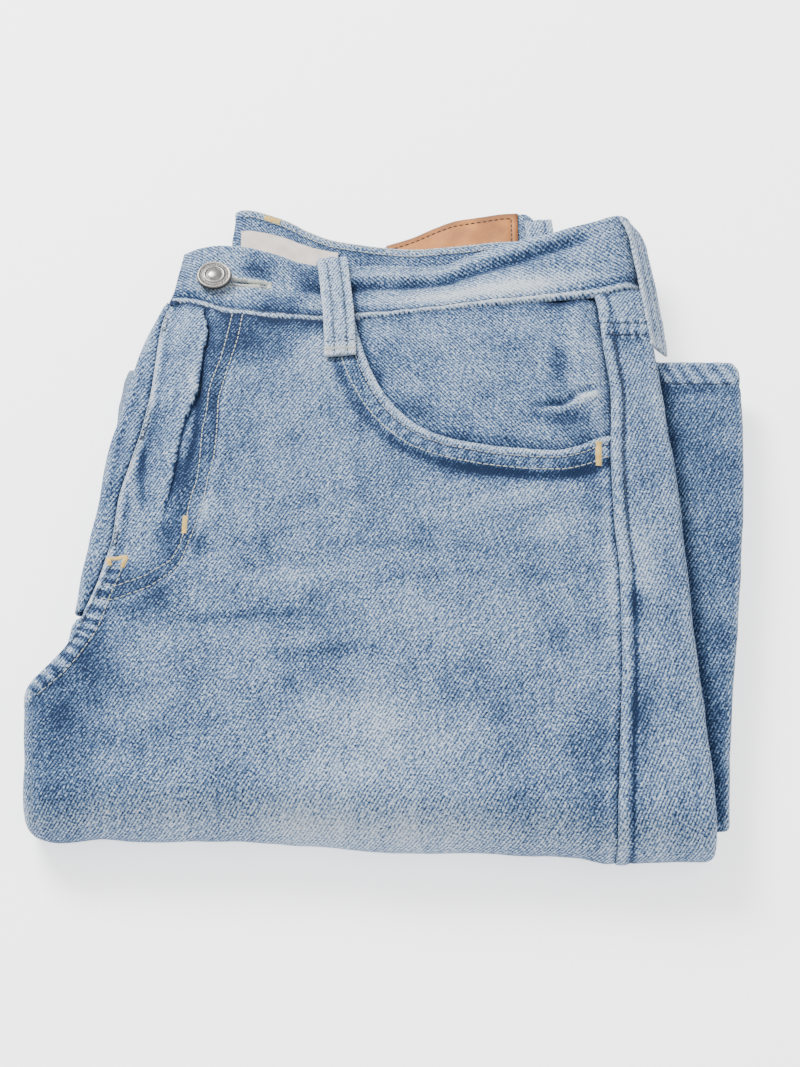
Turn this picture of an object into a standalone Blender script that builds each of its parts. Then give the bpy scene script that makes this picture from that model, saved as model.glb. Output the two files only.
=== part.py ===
"""A pair of jeans, folded in half down the centre and then in four down the legs, lying on its back.

The left front panel is on top. The legs wrap round the near edge of the stack, the waist opening is at
the far edge, and a strip of the lower leg shows at the right. Tables are in millimetres, in plan over the
floor; solids are made in metres, +Z up, with the near edge of the stack towards -Y.
"""

import math

import bmesh
import bpy
import numpy as np

MM = 0.001
CENTRE_X = 0.32
CENTRE_Y = -2.53

# Cloth and sewn parts
CLOTH = 1.35
SEAM_GAP = 0.35
LAYER_GAP = 0.45
CORE_GAP = 1.0
FACING_GAP = 0.9
BAND_THICK = 3.0
BAND_WIDTH = 38.0
LOOP_THICK = 1.9
LOOP_WIDTH = 14.5
PATCH_THICK = 1.2
LABEL_THICK = 0.7
POCKET_BAND = 12.0
SEAM_RIDGE = 0.8
SEAM_RIDGE_WIDTH = 5.0

# The stack: the height of the axis that all the legs fold round, and how far the fold reaches in front
FOLD_HEIGHT = 15.2
FOLD_REACH = 17.0
FLAP_UNDER = 34.0
CROTCH_Y = -70.5
CORE_ACROSS = 17
HEM_Y = 72.4

# Buttoned closing
BUTTON_X = -87.5
BUTTON_Y = 119.8
BUTTON_RADIUS = 8.3
BUTTON_TILT = 5.0
SHANK_RADIUS = 1.0
SLIT_LENGTH = 25.0
SLIT_WIDTH = 2.6

# Plan outlines of the upper leg, each as (y, x) from the near edge to the waist
LEFT_EDGE = [
    (-170, -140), (-165, -147), (-158, -152.5), (-150, -153.8), (-142, -154.2), (-128, -155.6), (-110, -156.3),
    (-106, -155.3), (-100, -151.4), (-94, -146.8), (-84, -140.6), (-66, -138.8), (-49, -137.4), (-32, -135.3),
    (-20, -133.6), (-5, -132.2), (12, -131.3), (40, -126.3), (65, -121.7), (84, -118.4), (105, -112.9),
    (121, -107.6), (141, -102),
]
RIGHT_EDGE = [
    (-178, 128.2), (-150, 128.1), (-121, 126.7), (-72, 124.7), (-40, 123.8), (2, 122.3), (38, 119.6),
    (70, 117.2), (90, 115.6), (107, 115.2), (134, 114),
]
SIDE_SEAM = [
    (-179, 83.4), (-160, 88.4), (-135, 90.2), (-115, 91.8), (-95, 93.2), (-53, 94.2), (-24, 93.2), (7, 93.4),
    (21, 94.2), (46, 95.2), (59, 94.3), (75, 92.8), (95, 91.6), (104, 90.2),
]
CENTRE_SEAM = [
    (-112, -155), (-86, -139.6), (-78, -136.9), (-64, -132.5), (-54, -129.4), (-43, -126.9), (-33, -124.7),
    (-12, -123.6), (9, -119.4), (28, -115.5), (47, -113.1), (93, -110.3), (107, -106.6),
]
LEG_RIGHT_EDGE = [
    (-170, 132.6), (-166, 134.4), (-152, 135.4), (-113, 139.3), (-86, 143.1), (-44, 148.3), (-8, 152.4),
    (17, 154.6), (31, 155.4), (58, 156.6), (69, 156.6), (72.4, 154.8),
]
LEG_LEFT_EDGE = [
    (-170, -153.8), (-150, -153.8), (-116, -143.8), (-100, -140), (-80, -137.5), (-50, -134.5), (-20, -133),
    (11, -131.6), (27, -130.3), (56, -129.3), (71, -126.6),
]

# Plan outlines as (x, y)
NEAR_EDGE = [
    (-158, -155), (-155, -162), (-152, -166), (-147, -169), (-139, -170.6), (-121, -168.2), (-100, -169.2),
    (-81, -168.4), (-48, -170.4), (-20, -172.6), (0, -174.3), (34, -174.7), (57, -175.6), (73, -177),
    (86, -179.6), (97, -178.7), (114, -178.3), (127, -178.8), (136, -178.8),
]
WAIST_SEAM = [
    (-113, 107), (-106, 106), (-93, 103.4), (-83, 98.3), (-69, 95.3), (-51, 93.4), (-37, 92.9), (-21, 94.1),
    (-7, 95.2), (7, 96.3), (34, 99.3), (56, 99.9), (76, 101.4), (88, 102.1), (97, 103.8), (110, 107), (118, 107),
]
POCKET_MOUTH = [
    (-21.8, 94), (-19.9, 83.6), (-17.4, 71.1), (-12.7, 56.2), (-6.8, 43.5), (0, 33.7), (5.8, 27.2), (13.8, 21.8),
    (28.4, 16.8), (45.2, 13.6), (62, 11.7), (70, 11.5), (79.3, 13.6), (86.2, 17.2), (96, 20.6),
]
FACING_END = [
    (-36, 88), (-33, 72), (-29, 58), (-22, 42), (-13, 28), (-2, 17), (12, 9), (28, 4), (45, 0.5), (62, -1.5),
    (79, 0.5), (96, 6),
]

# Heights of the upper leg's top face: rows by y, columns by x
HEIGHT_X = (-157, -135, -112, -92, -60, -25, 20, 60, 92, 110, 126)
HEIGHT_ROWS = {
    -160: (29.5, 32.0, 33.5, 34.0, 34.5, 35.0, 35.0, 35.0, 34.5, 32.8, 31.0),
    -120: (29.5, 32.5, 34.0, 34.5, 35.0, 35.5, 35.5, 35.5, 35.2, 33.5, 31.2),
    -85: (28.5, 31.5, 33.5, 34.5, 35.0, 35.5, 35.5, 35.5, 35.2, 33.5, 31.2),
    -45: (28.0, 30.5, 32.5, 34.0, 34.5, 35.0, 35.5, 35.5, 35.2, 33.5, 31.2),
    -10: (27.0, 29.5, 31.5, 33.5, 34.0, 34.5, 35.0, 35.0, 35.0, 33.5, 31.2),
    20: (26.0, 28.5, 30.5, 33.0, 33.2, 33.5, 34.0, 34.5, 34.5, 33.2, 30.6),
    45: (25.0, 27.0, 29.5, 32.2, 32.4, 32.5, 33.0, 33.5, 34.0, 32.6, 30.0),
    70: (24.0, 25.2, 28.0, 30.2, 30.6, 31.0, 31.6, 32.4, 33.4, 32.0, 29.5),
    92: (22.0, 22.6, 24.4, 26.8, 27.2, 27.2, 28.4, 30.6, 32.8, 31.6, 29.0),
    110: (20.0, 20.4, 21.4, 24.2, 25.0, 25.2, 27.0, 30.0, 32.2, 31.0, 28.0),
}

# Waistband, as stations along it: top edge (x, y, z) and lower edge (x, y, z), the middle of its thickness
FRONT_BAND = [
    ((-101.9, 140.1, 17.6), (-106.0, 106.2, 20.6)), ((-95, 142.9, 18.2), (-98.5, 104.9, 21.6)),
    ((-86, 144.3, 18.5), (-88.5, 100.3, 22.7)), ((-77, 143.8, 18.5), (-79, 97.2, 23.2)),
    ((-67.7, 141.6, 18.2), (-69, 95.3, 23.5)), ((-58, 138.9, 17.6), (-59, 94.1, 23.6)),
    ((-48, 134.9, 16.8), (-49.5, 93.3, 23.6)), ((-36, 132.6, 16.6), (-37.4, 92.9, 23.6)),
    ((-22, 132.4, 16.6), (-22, 94.1, 23.8)), ((-8, 133.2, 16.6), (-8, 95.2, 24.2)),
    ((7, 132.0, 16.8), (6.7, 96.3, 24.8)), ((20, 132.3, 17.4), (20, 98.1, 25.5)),
    ((33, 136.9, 19.2), (33, 99.3, 26.6)), ((46, 139.7, 22.2), (45, 99.6, 27.6)),
    ((59, 141.6, 25.4), (57, 99.9, 28.6)), ((71.7, 143, 28.4), (68, 101.1, 29.4)),
    ((82, 144.4, 30.8), (78, 101.5, 30.1)), ((91, 146.6, 32.6), (88, 102.1, 30.6)),
    ((98, 149.2, 33.2), (97, 103.8, 30.4)),
]
RIGHT_FOLD = [
    ((104, 151.6, 32.0), (104.6, 107.0, 29.2)), ((108.0, 152.4, 28.8), (110.4, 108.6, 25.8)),
    ((109.2, 152.6, 24.6), (112.2, 109.4, 21.4)), ((107.2, 152.4, 20.8), (109.8, 110.8, 17.6)),
    ((102, 152, 18.4), (103.6, 112.5, 15.8)),
]
BACK_BAND_LEFT = [
    ((93, 151.6, 16.8), (94, 113.6, 15.0)), ((78, 151.2, 15.4), (78, 113.2, 14.2)),
    ((62, 151, 14.2), (62, 113, 13.6)), ((47.5, 151.1, 13.4), (47, 113, 13.0)),
    ((35, 149.9, 12.6), (34, 112, 12.6)), ((22, 148.7, 11.9), (21, 110.8, 12.4)),
    ((8, 147.8, 11.5), (7, 109.9, 12.2)), ((-6, 148.6, 11.4), (-7, 110.6, 12.2)),
    ((-20, 150.8, 11.4), (-21, 112.8, 12.2)), ((-32.5, 153.7, 11.4), (-34, 115.8, 12.2)),
    ((-44, 159, 11.4), (-46, 121.2, 12.2)), ((-55, 166, 11.2), (-58, 128.4, 12.0)),
    ((-65, 171, 10.8), (-68, 133.4, 11.6)), ((-73, 174, 10.2), (-75, 136.4, 11.0)),
]
CENTRE_BACK_FOLD = [
    ((-77.4, 174.6, 9.4), (-79.4, 137.2, 10.0)), ((-79.2, 174.7, 8.0), (-81.2, 137.3, 8.2)),
    ((-77.4, 174.6, 6.6), (-79.4, 137.2, 6.4)),
]
BACK_BAND_RIGHT = [
    ((-73, 173.6, 5.9), (-75, 136.0, 5.6)), ((-60, 168, 5.9), (-62, 130.4, 5.6)),
    ((-44, 158, 5.9), (-46, 120.4, 5.6)), ((-28, 152.6, 5.9), (-29, 114.8, 5.6)),
    ((-14, 152.2, 5.9), (-15, 114.4, 5.6)), ((-4, 155.4, 6.0), (-5, 117.5, 5.6)),
    ((6, 159.2, 6.2), (5, 121.2, 5.8)), ((17, 165, 6.7), (16, 127.1, 6.0)),
    ((28, 169.4, 7.2), (27.5, 131.5, 6.4)), ((40, 171.6, 7.5), (40, 133.6, 6.8)),
    ((52, 173.6, 7.6), (52.5, 135.6, 7.0)), ((60.5, 173.8, 7.5), (61.5, 135.9, 7.0)),
    ((67, 168, 7.3), (68.5, 130.2, 6.8)), ((76, 158.6, 6.9), (77.5, 120.8, 6.4)),
    ((88, 153.6, 6.4), (89, 115.8, 6.0)), ((98, 152, 5.9), (99, 114.2, 5.7)),
]
RIGHT_UNDER_FOLD = [
    ((104, 151.4, 5.4), (105, 113.6, 5.2)), ((106.2, 150.6, 3.7), (107.2, 112.8, 3.6)),
    ((104, 149.6, 2.0), (105, 111.6, 2.0)),
]
RIGHT_FRONT_BAND = [
    ((98, 147, 1.5), (98, 109, 1.5)), ((78, 141, 1.5), (78, 103.4, 1.5)), ((50, 139, 1.5), (50, 101.4, 1.5)),
    ((20, 137, 1.5), (20, 99.6, 1.5)), ((-10, 134.4, 1.5), (-10, 96.8, 1.5)), ((-40, 132.2, 1.5), (-40, 94.6, 1.5)),
    ((-66, 135, 1.5), (-68, 97.4, 1.5)), ((-86, 139, 1.5), (-90, 104.4, 1.5)),
]
LEFT_WRAP = [
    ((-95, 139.6, 2.2), (-102, 107.4, 2.4)), ((-99.4, 139.8, 5.0), (-108.2, 107.8, 5.6)),
    ((-100.4, 139.8, 9.0), (-110.4, 107.8, 10.4)), ((-98.6, 139.6, 12.6), (-107.4, 107.8, 15.2)),
    ((-93.6, 139.4, 14.2), (-100.4, 107.2, 17.2)), ((-86, 139.2, 14.5), (-90, 105, 17.6)),
    ((-77, 139, 14.5), (-78, 103, 17.6)),
]
BAND_ACROSS = (0.0, 0.16, 0.34, 0.48, 0.58, 0.68, 0.84, 1.0)

# Belt loops, as the middle line of each (x, y, z) and the direction of its width
FRONT_LOOP = [
    (-32.8, 135.4, 16.2), (-32.6, 135.0, 19.6), (-31.9, 130.2, 22.0), (-30.8, 119, 24.4), (-29.6, 106, 27.4),
    (-28.6, 95, 30.0), (-28.0, 84, 31.4), (-27.6, 75, 32.6), (-27.2, 67.2, 33.2),
]
SIDE_LOOP = [
    (111.0, 153.0, 29.4), (112.0, 147, 29.4), (113.2, 139, 28.8), (114.6, 128, 27.2), (115.9, 116, 26.2),
    (117.2, 104, 25.4), (118.2, 94, 25.0), (118.9, 85, 24.8), (119.2, 77, 24.6),
]
BACK_LOOP = [
    (67.4, 167.2, 9.9), (67.8, 162, 10.2), (68.4, 152, 10.4), (69, 140, 10.2), (69.6, 131, 9.8),
]

DENIM = (0.20, 0.33, 0.47)
FADED_DENIM = (0.34, 0.47, 0.60)
DARK_DENIM = (0.12, 0.21, 0.32)


def hermite(places, values, at):
    """Smooth curve through values at places, level at its own highs and lows and never beyond them."""
    places = np.asarray(places, float)
    at = np.clip(np.asarray(at, float), places[0], places[-1])
    values = np.asarray(values, float)
    if values.ndim == 1:
        values = np.broadcast_to(values.reshape((-1,) + (1,) * at.ndim), (len(places),) + at.shape)
    steps = np.diff(places).reshape((-1,) + (1,) * at.ndim)
    rise = np.diff(values, axis=0) / steps
    same = rise[1:] * rise[:-1] > 0
    total = np.where(same, rise[1:] + rise[:-1], 1.0)
    inner = np.where(same, 2 * rise[1:] * rise[:-1] / total, 0.0)
    slopes = np.concatenate([rise[:1], inner, rise[-1:]])
    low = np.clip(np.searchsorted(places, at, side="right") - 1, 0, len(places) - 2)
    span = places[low + 1] - places[low]
    f = (at - places[low]) / span
    v0 = np.take_along_axis(values, low[None], axis=0)[0]
    v1 = np.take_along_axis(values, low[None] + 1, axis=0)[0]
    m0 = np.take_along_axis(slopes, low[None], axis=0)[0] * span
    m1 = np.take_along_axis(slopes, low[None] + 1, axis=0)[0] * span
    g = 1 - f
    return (1 + 2 * f) * g * g * v0 + f * g * g * m0 + f * f * (3 - 2 * f) * v1 - f * f * g * m1


def along(table, at):
    """The second column of a table at places in its first."""
    rows = np.asarray(table, float)
    return hermite(rows[:, 0], rows[:, 1], at)


def smooth(low, high, value):
    """0 below low, 1 above high and an easy change between them."""
    f = np.clip((np.asarray(value, float) - low) / (high - low), 0, 1)
    return f * f * (3 - 2 * f)


def top_height(x, y):
    """Height of the upper leg's top face before its edges roll over."""
    x, y = np.broadcast_arrays(np.asarray(x, float), np.asarray(y, float))
    across = np.stack([hermite(HEIGHT_X, HEIGHT_ROWS[row], x) for row in sorted(HEIGHT_ROWS)])
    height = hermite(sorted(HEIGHT_ROWS), across, y)
    fly = np.exp(-(((x + 103 + 0.06 * (y - 40)) / 7) ** 2)) * smooth(-45, -5, y) * (1 - smooth(70, 98, y))
    return height + 1.3 * fly


def near_line(x):
    """Where the flat top ends and the legs begin to turn down round the near edge."""
    return along(NEAR_EDGE, x) + FOLD_REACH


def place(x, y, depth, turn=0.0, under=0.0, over=None):
    """A point at a depth below the upper leg's skin.

    turn is the angle round the near fold, pi on the underside, and under is how far beyond that it lies.
    over is the x at which the skin's height is taken, where an edge rolls over.
    """
    x, y, depth, turn, under = np.broadcast_arrays(*(np.asarray(v, float) for v in (x, y, depth, turn, under)))
    over = x if over is None else np.broadcast_to(np.asarray(over, float), x.shape)
    line = near_line(x)
    height = top_height(over, np.where(turn > 0, line, y))
    reach = height - FOLD_HEIGHT
    left = 1 - depth / reach
    radius = reach + (FOLD_HEIGHT - reach) * smooth(0, math.pi, turn)
    folded_y = line - FOLD_REACH * left * np.sin(turn) + under
    folded_z = FOLD_HEIGHT + radius * left * np.cos(turn)
    flat = turn <= 0
    return np.stack([x, np.where(flat, y, folded_y), np.where(flat, height - depth, folded_z)], axis=-1)


def material(name, colour, roughness, metallic=0.0):
    made = bpy.data.materials.new(name)
    made.use_nodes = True
    made.diffuse_color = (*colour, 1.0)
    shader = made.node_tree.nodes["Principled BSDF"]
    shader.inputs["Base Color"].default_value = (*colour, 1.0)
    shader.inputs["Roughness"].default_value = roughness
    shader.inputs["Metallic"].default_value = metallic
    return made


def add_object(name, points, faces, finish, group):
    """A closed solid from points in millimetres, with its faces turned outwards."""
    mesh = bpy.data.meshes.new(name)
    shifted = (np.asarray(points, float) - (CENTRE_X, CENTRE_Y, 0.0)) * MM
    mesh.from_pydata([tuple(p) for p in shifted], [], faces)
    made = bmesh.new()
    made.from_mesh(mesh)
    bmesh.ops.recalc_face_normals(made, faces=made.faces)
    made.to_mesh(mesh)
    made.free()
    thing = bpy.data.objects.new(name, mesh)
    thing.data.materials.append(finish)
    group.objects.link(thing)
    return thing


def grid_normals(grid):
    """Unit normals of a grid of points, from its columns and rows."""
    across = np.gradient(grid, axis=1)
    down = np.gradient(grid, axis=0)
    normals = np.cross(across, down)
    return normals / np.linalg.norm(normals, axis=2, keepdims=True)


def closed_grid(outer, inner):
    """Points and faces of the solid between two grids of points."""
    rows, columns = outer.shape[:2]
    count = rows * columns
    points = np.concatenate([outer.reshape(-1, 3), inner.reshape(-1, 3)])
    faces = []
    for r in range(rows - 1):
        for c in range(columns - 1):
            a = r * columns + c
            b = a + columns
            faces.append((a, a + 1, b + 1, b))
            faces.append((a + count, b + count, b + 1 + count, a + 1 + count))
    rim = [c for c in range(columns)]
    rim += [r * columns + columns - 1 for r in range(1, rows)]
    rim += [(rows - 1) * columns + c for c in range(columns - 2, -1, -1)]
    rim += [r * columns for r in range(rows - 2, 0, -1)]
    for k, a in enumerate(rim):
        b = rim[(k + 1) % len(rim)]
        faces.append((a, a + count, b + count, b))
    return points, faces


def sheet_solid(name, outer, thick, finish, group):
    """Cloth of an even thickness below a grid of points whose columns run to +X and rows to -Y."""
    return add_object(name, *closed_grid(outer, outer + grid_normals(outer) * thick), finish, group)


def ribbon_solid(name, middle, thick, finish, group):
    """A band with its thickness shared on both sides of a grid of points."""
    half = grid_normals(middle) * thick / 2
    return add_object(name, *closed_grid(middle - half, middle + half), finish, group)


def leg_rows(top, fold, under):
    """Rows of the leg's skin: shares of the way down the flat top, turns round the fold, lengths beneath."""
    rows = [(share, 0.0, 0.0) for share in top]
    rows += [(1.0, math.radians(turn), 0.0) for turn in fold]
    rows += [(1.0, math.pi, length) for length in under]
    return rows


def left_front(finish, group):
    """Panel on top: from the waistband seam and the pocket mouth, round the near edge to the underside."""
    turned = np.radians((160, 130, 100, 70, 40, 15))
    shares = np.array((0.02, 0.06, 0.12, 0.19, 0.26, 0.33, 0.385, 0.41, 0.425, 0.44, 0.46, 0.485, 0.51, 0.54,
                       0.58, 0.63, 0.69, 0.75, 0.81, 0.87, 0.92, 0.96, 1.0))
    top = (0.0, 0.03, 0.06, 0.1, 0.16, 0.22, 0.28, 0.34, 0.4, 0.46, 0.52, 0.58, 0.63, 0.672, 0.686, 0.7, 0.73,
           0.76, 0.81, 0.86, 0.91, 0.96)
    grid = []
    for share, turn, under in leg_rows(top, (0, 20, 40, 60, 80, 100, 120, 140, 160, 180), (10, FLAP_UNDER)):
        y = np.zeros(len(turned) + len(shares))
        x = np.linspace(-150, 90, len(y))
        for _ in range(8):
            start = np.where(x < -21.8, along(WAIST_SEAM, x) - SEAM_GAP, along(POCKET_MOUTH, x))
            y = start + (near_line(x) - start) * share
            side = along(SIDE_SEAM, y) - SEAM_GAP / 2
            edge = along(LEFT_EDGE, y) + 0.3 * under
            opened = 1 - smooth(CROTCH_Y - 6, CROTCH_Y, y)
            shut = along(CENTRE_SEAM, y) + SEAM_GAP
            roll_x, roll_z = 4.2, 3.3
            middle = edge + roll_x
            first = shut + (middle - shut) * opened
            x[len(turned):] = first[len(turned):] + (side[len(turned):] - first[len(turned):]) * shares
            flat_x = shut + np.linspace(0, 2.0, len(y))
            rolled = middle[:len(turned)] - roll_x * np.sin(turned)
            x[:len(turned)] = flat_x[:len(turned)] + (rolled - flat_x[:len(turned)]) * opened[:len(turned)]
        depth = np.zeros(len(y))
        depth[:len(turned)] = roll_z * (1 - np.cos(turned)) * opened[:len(turned)]
        over = np.maximum(x, first)
        grid.append(place(x, y, depth, turn, under, over))
    return sheet_solid("left_front", np.array(grid), CLOTH, finish, group)


def right_roll(y):
    """Half widths and half heights of the rolled right edge of the upper leg."""
    return 5.0 + 0 * y, 4.6 + 3.4 * smooth(72, 98, y)


def fold_squeeze(turn):
    """How much thinner the rolled right edge is where it goes round the near fold."""
    return float(1 - 0.3 * smooth(0.1, 1.2, turn))


def left_roll(y):
    """Half widths and half heights of the rolled left edge above the crotch."""
    return 4.6 + 0 * y, 3.4 + 4.4 * smooth(72, 100, y)


def side_strip(name, start, rows, finish, group):
    """Cloth right of the side seam, rolled over the right edge; rows are shares from start to the near edge."""
    shares = np.array((0.0, 0.12, 0.24, 0.3, 0.5, 0.75, 1.0))
    turned = np.radians((25, 50, 75, 100, 130, 160))
    grid = []
    for share, turn, under in rows:
        x = np.concatenate([np.linspace(92, 120, len(shares)), np.full(len(turned), 123.0)])
        for _ in range(6):
            y = start(x) + (near_line(x) - start(x)) * share
            roll_x, roll_z = right_roll(y)
            roll_z = roll_z * fold_squeeze(turn)
            side = along(SIDE_SEAM, y) + SEAM_GAP / 2
            middle = along(RIGHT_EDGE, y) - roll_x
            flat = len(shares)
            x[:flat] = side[:flat] + (middle[:flat] - side[:flat]) * shares
            x[flat:] = middle[flat:] + roll_x[flat:] * np.sin(turned)
        ridge = SEAM_RIDGE * (1 - smooth(1.0, 2.6, turn))
        depth = -ridge * (1 - smooth(SEAM_RIDGE_WIDTH - 1.5, SEAM_RIDGE_WIDTH + 1.5, x - side))
        depth[flat:] += roll_z[flat:] * (1 - np.cos(turned))
        grid.append(place(x, y, depth, turn, under, np.minimum(x, middle)))
    return sheet_solid(name, np.array(grid), CLOTH, finish, group)


def yoke_line(x):
    """Yoke seam, a little below the waistband seam at the right edge."""
    return 87.2 + 0.1 * (x - 92)


def right_front_strip(finish, group):
    """Cloth beyond the centre seam, rolled over the left edge above the crotch."""
    turned = np.radians((160, 130, 100, 75, 50, 25))
    shares = np.array((0.0, 0.5, 1.0))
    grid = []
    for y_row in (106.0, 98, 88, 78, 66, 54, 42, 30, 16, 0, -16, -30, -44, -58, CROTCH_Y + 2.0):
        y = np.full(len(turned) + len(shares), float(y_row))
        if y_row > 100:
            y[:] = along(WAIST_SEAM, -107.0) - SEAM_GAP
        roll_x, roll_z = left_roll(y)
        seam = along(CENTRE_SEAM, y) - SEAM_GAP
        middle = np.minimum(along(LEFT_EDGE, y) + roll_x, seam - 1.0)
        roll_x = middle - along(LEFT_EDGE, y)
        x = np.concatenate([middle[:len(turned)] - roll_x[:len(turned)] * np.sin(turned),
                            (middle + 0.4 + (seam - middle - 0.4) * 0)[:len(shares)]])
        x[len(turned):] = middle[0] + 0.3 + (seam[0] - middle[0] - 0.3) * shares
        depth = np.full(len(y), 0.25)
        depth[:len(turned)] += roll_z[:len(turned)] * (1 - np.cos(turned))
        grid.append(place(x, y, depth, over=np.maximum(x, middle)))
    return sheet_solid("right_front", np.array(grid), CLOTH, finish, group)


def pocket_facing(finish, group):
    """Denim behind the pocket mouth, one cloth's thickness below the panel."""
    shares = np.array((0.0, 0.02, 0.045, 0.075, 0.11, 0.16, 0.23, 0.31, 0.4, 0.5, 0.6, 0.7, 0.8, 0.9, 1.0))
    grid = []
    for share in (0.0, 0.12, 0.26, 0.4, 0.54, 0.68, 0.8, 0.9, 1.0):
        x = np.linspace(-36, 93, len(shares))
        for _ in range(6):
            start = along(WAIST_SEAM, x) - SEAM_GAP
            y = start + (along(FACING_END, x) - start) * share
            x = -36 + (along(SIDE_SEAM, y) - SEAM_GAP / 2 + 36) * shares
        grid.append(place(x, y, CLOTH + FACING_GAP))
    return sheet_solid("pocket_facing", np.array(grid), CLOTH, finish, group)


def leg_top(x, y):
    """Height of the lower leg's top face, where it shows beyond the upper leg."""
    return 20.9 - 1.6 * smooth(40, 72, y) + 0 * x


def lower_leg(finish, group):
    """The strip of the lower leg that shows at the right, from its hem round its own near fold."""
    turned = np.radians((30, 60, 90, 120, 150))
    shares = np.linspace(0, 1, 6)
    top = (0.0, 0.03, 0.055, 0.08, 0.14, 0.22, 0.32, 0.42, 0.52, 0.62, 0.72, 0.82, 0.92)
    grid = []
    for share, turn, under in leg_rows(top, (0, 25, 50, 74), ()):
        x = np.linspace(116, 152, len(shares) + len(turned))
        for _ in range(6):
            line = near_line(x)
            y = HEM_Y + (line - HEM_Y) * share
            roll_x, roll_z = right_roll(y)
            inner = along(RIGHT_EDGE, y) - roll_x - 1.2
            middle = along(LEG_RIGHT_EDGE, y) - 3.2
            flat = len(shares)
            x[:flat] = inner[:flat] + (middle[:flat] - inner[:flat]) * shares
            x[flat:] = middle[flat:] + 3.2 * np.sin(turned)
        over = 112.0
        height = leg_top(x, y)
        height[flat:] -= 2.7 * (1 - np.cos(turned))
        hem = 0.7 * smooth(HEM_Y - 14.5, HEM_Y - 13, y)
        depth = top_height(over, np.where(turn > 0, line, y)) - height - hem * (turn == 0)
        grid.append(place(x, y, depth, turn, under, over))
    return sheet_solid("lower_leg", np.array(grid), CLOTH, finish, group)


def core_depth(x, y):
    """Depth of the hidden layers below the skin: deeper behind the pocket."""
    pocket = smooth(-75, -50, x) * smooth(-45, -22, y)
    return CLOTH + CORE_GAP + (CLOTH + FACING_GAP) * pocket


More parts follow.
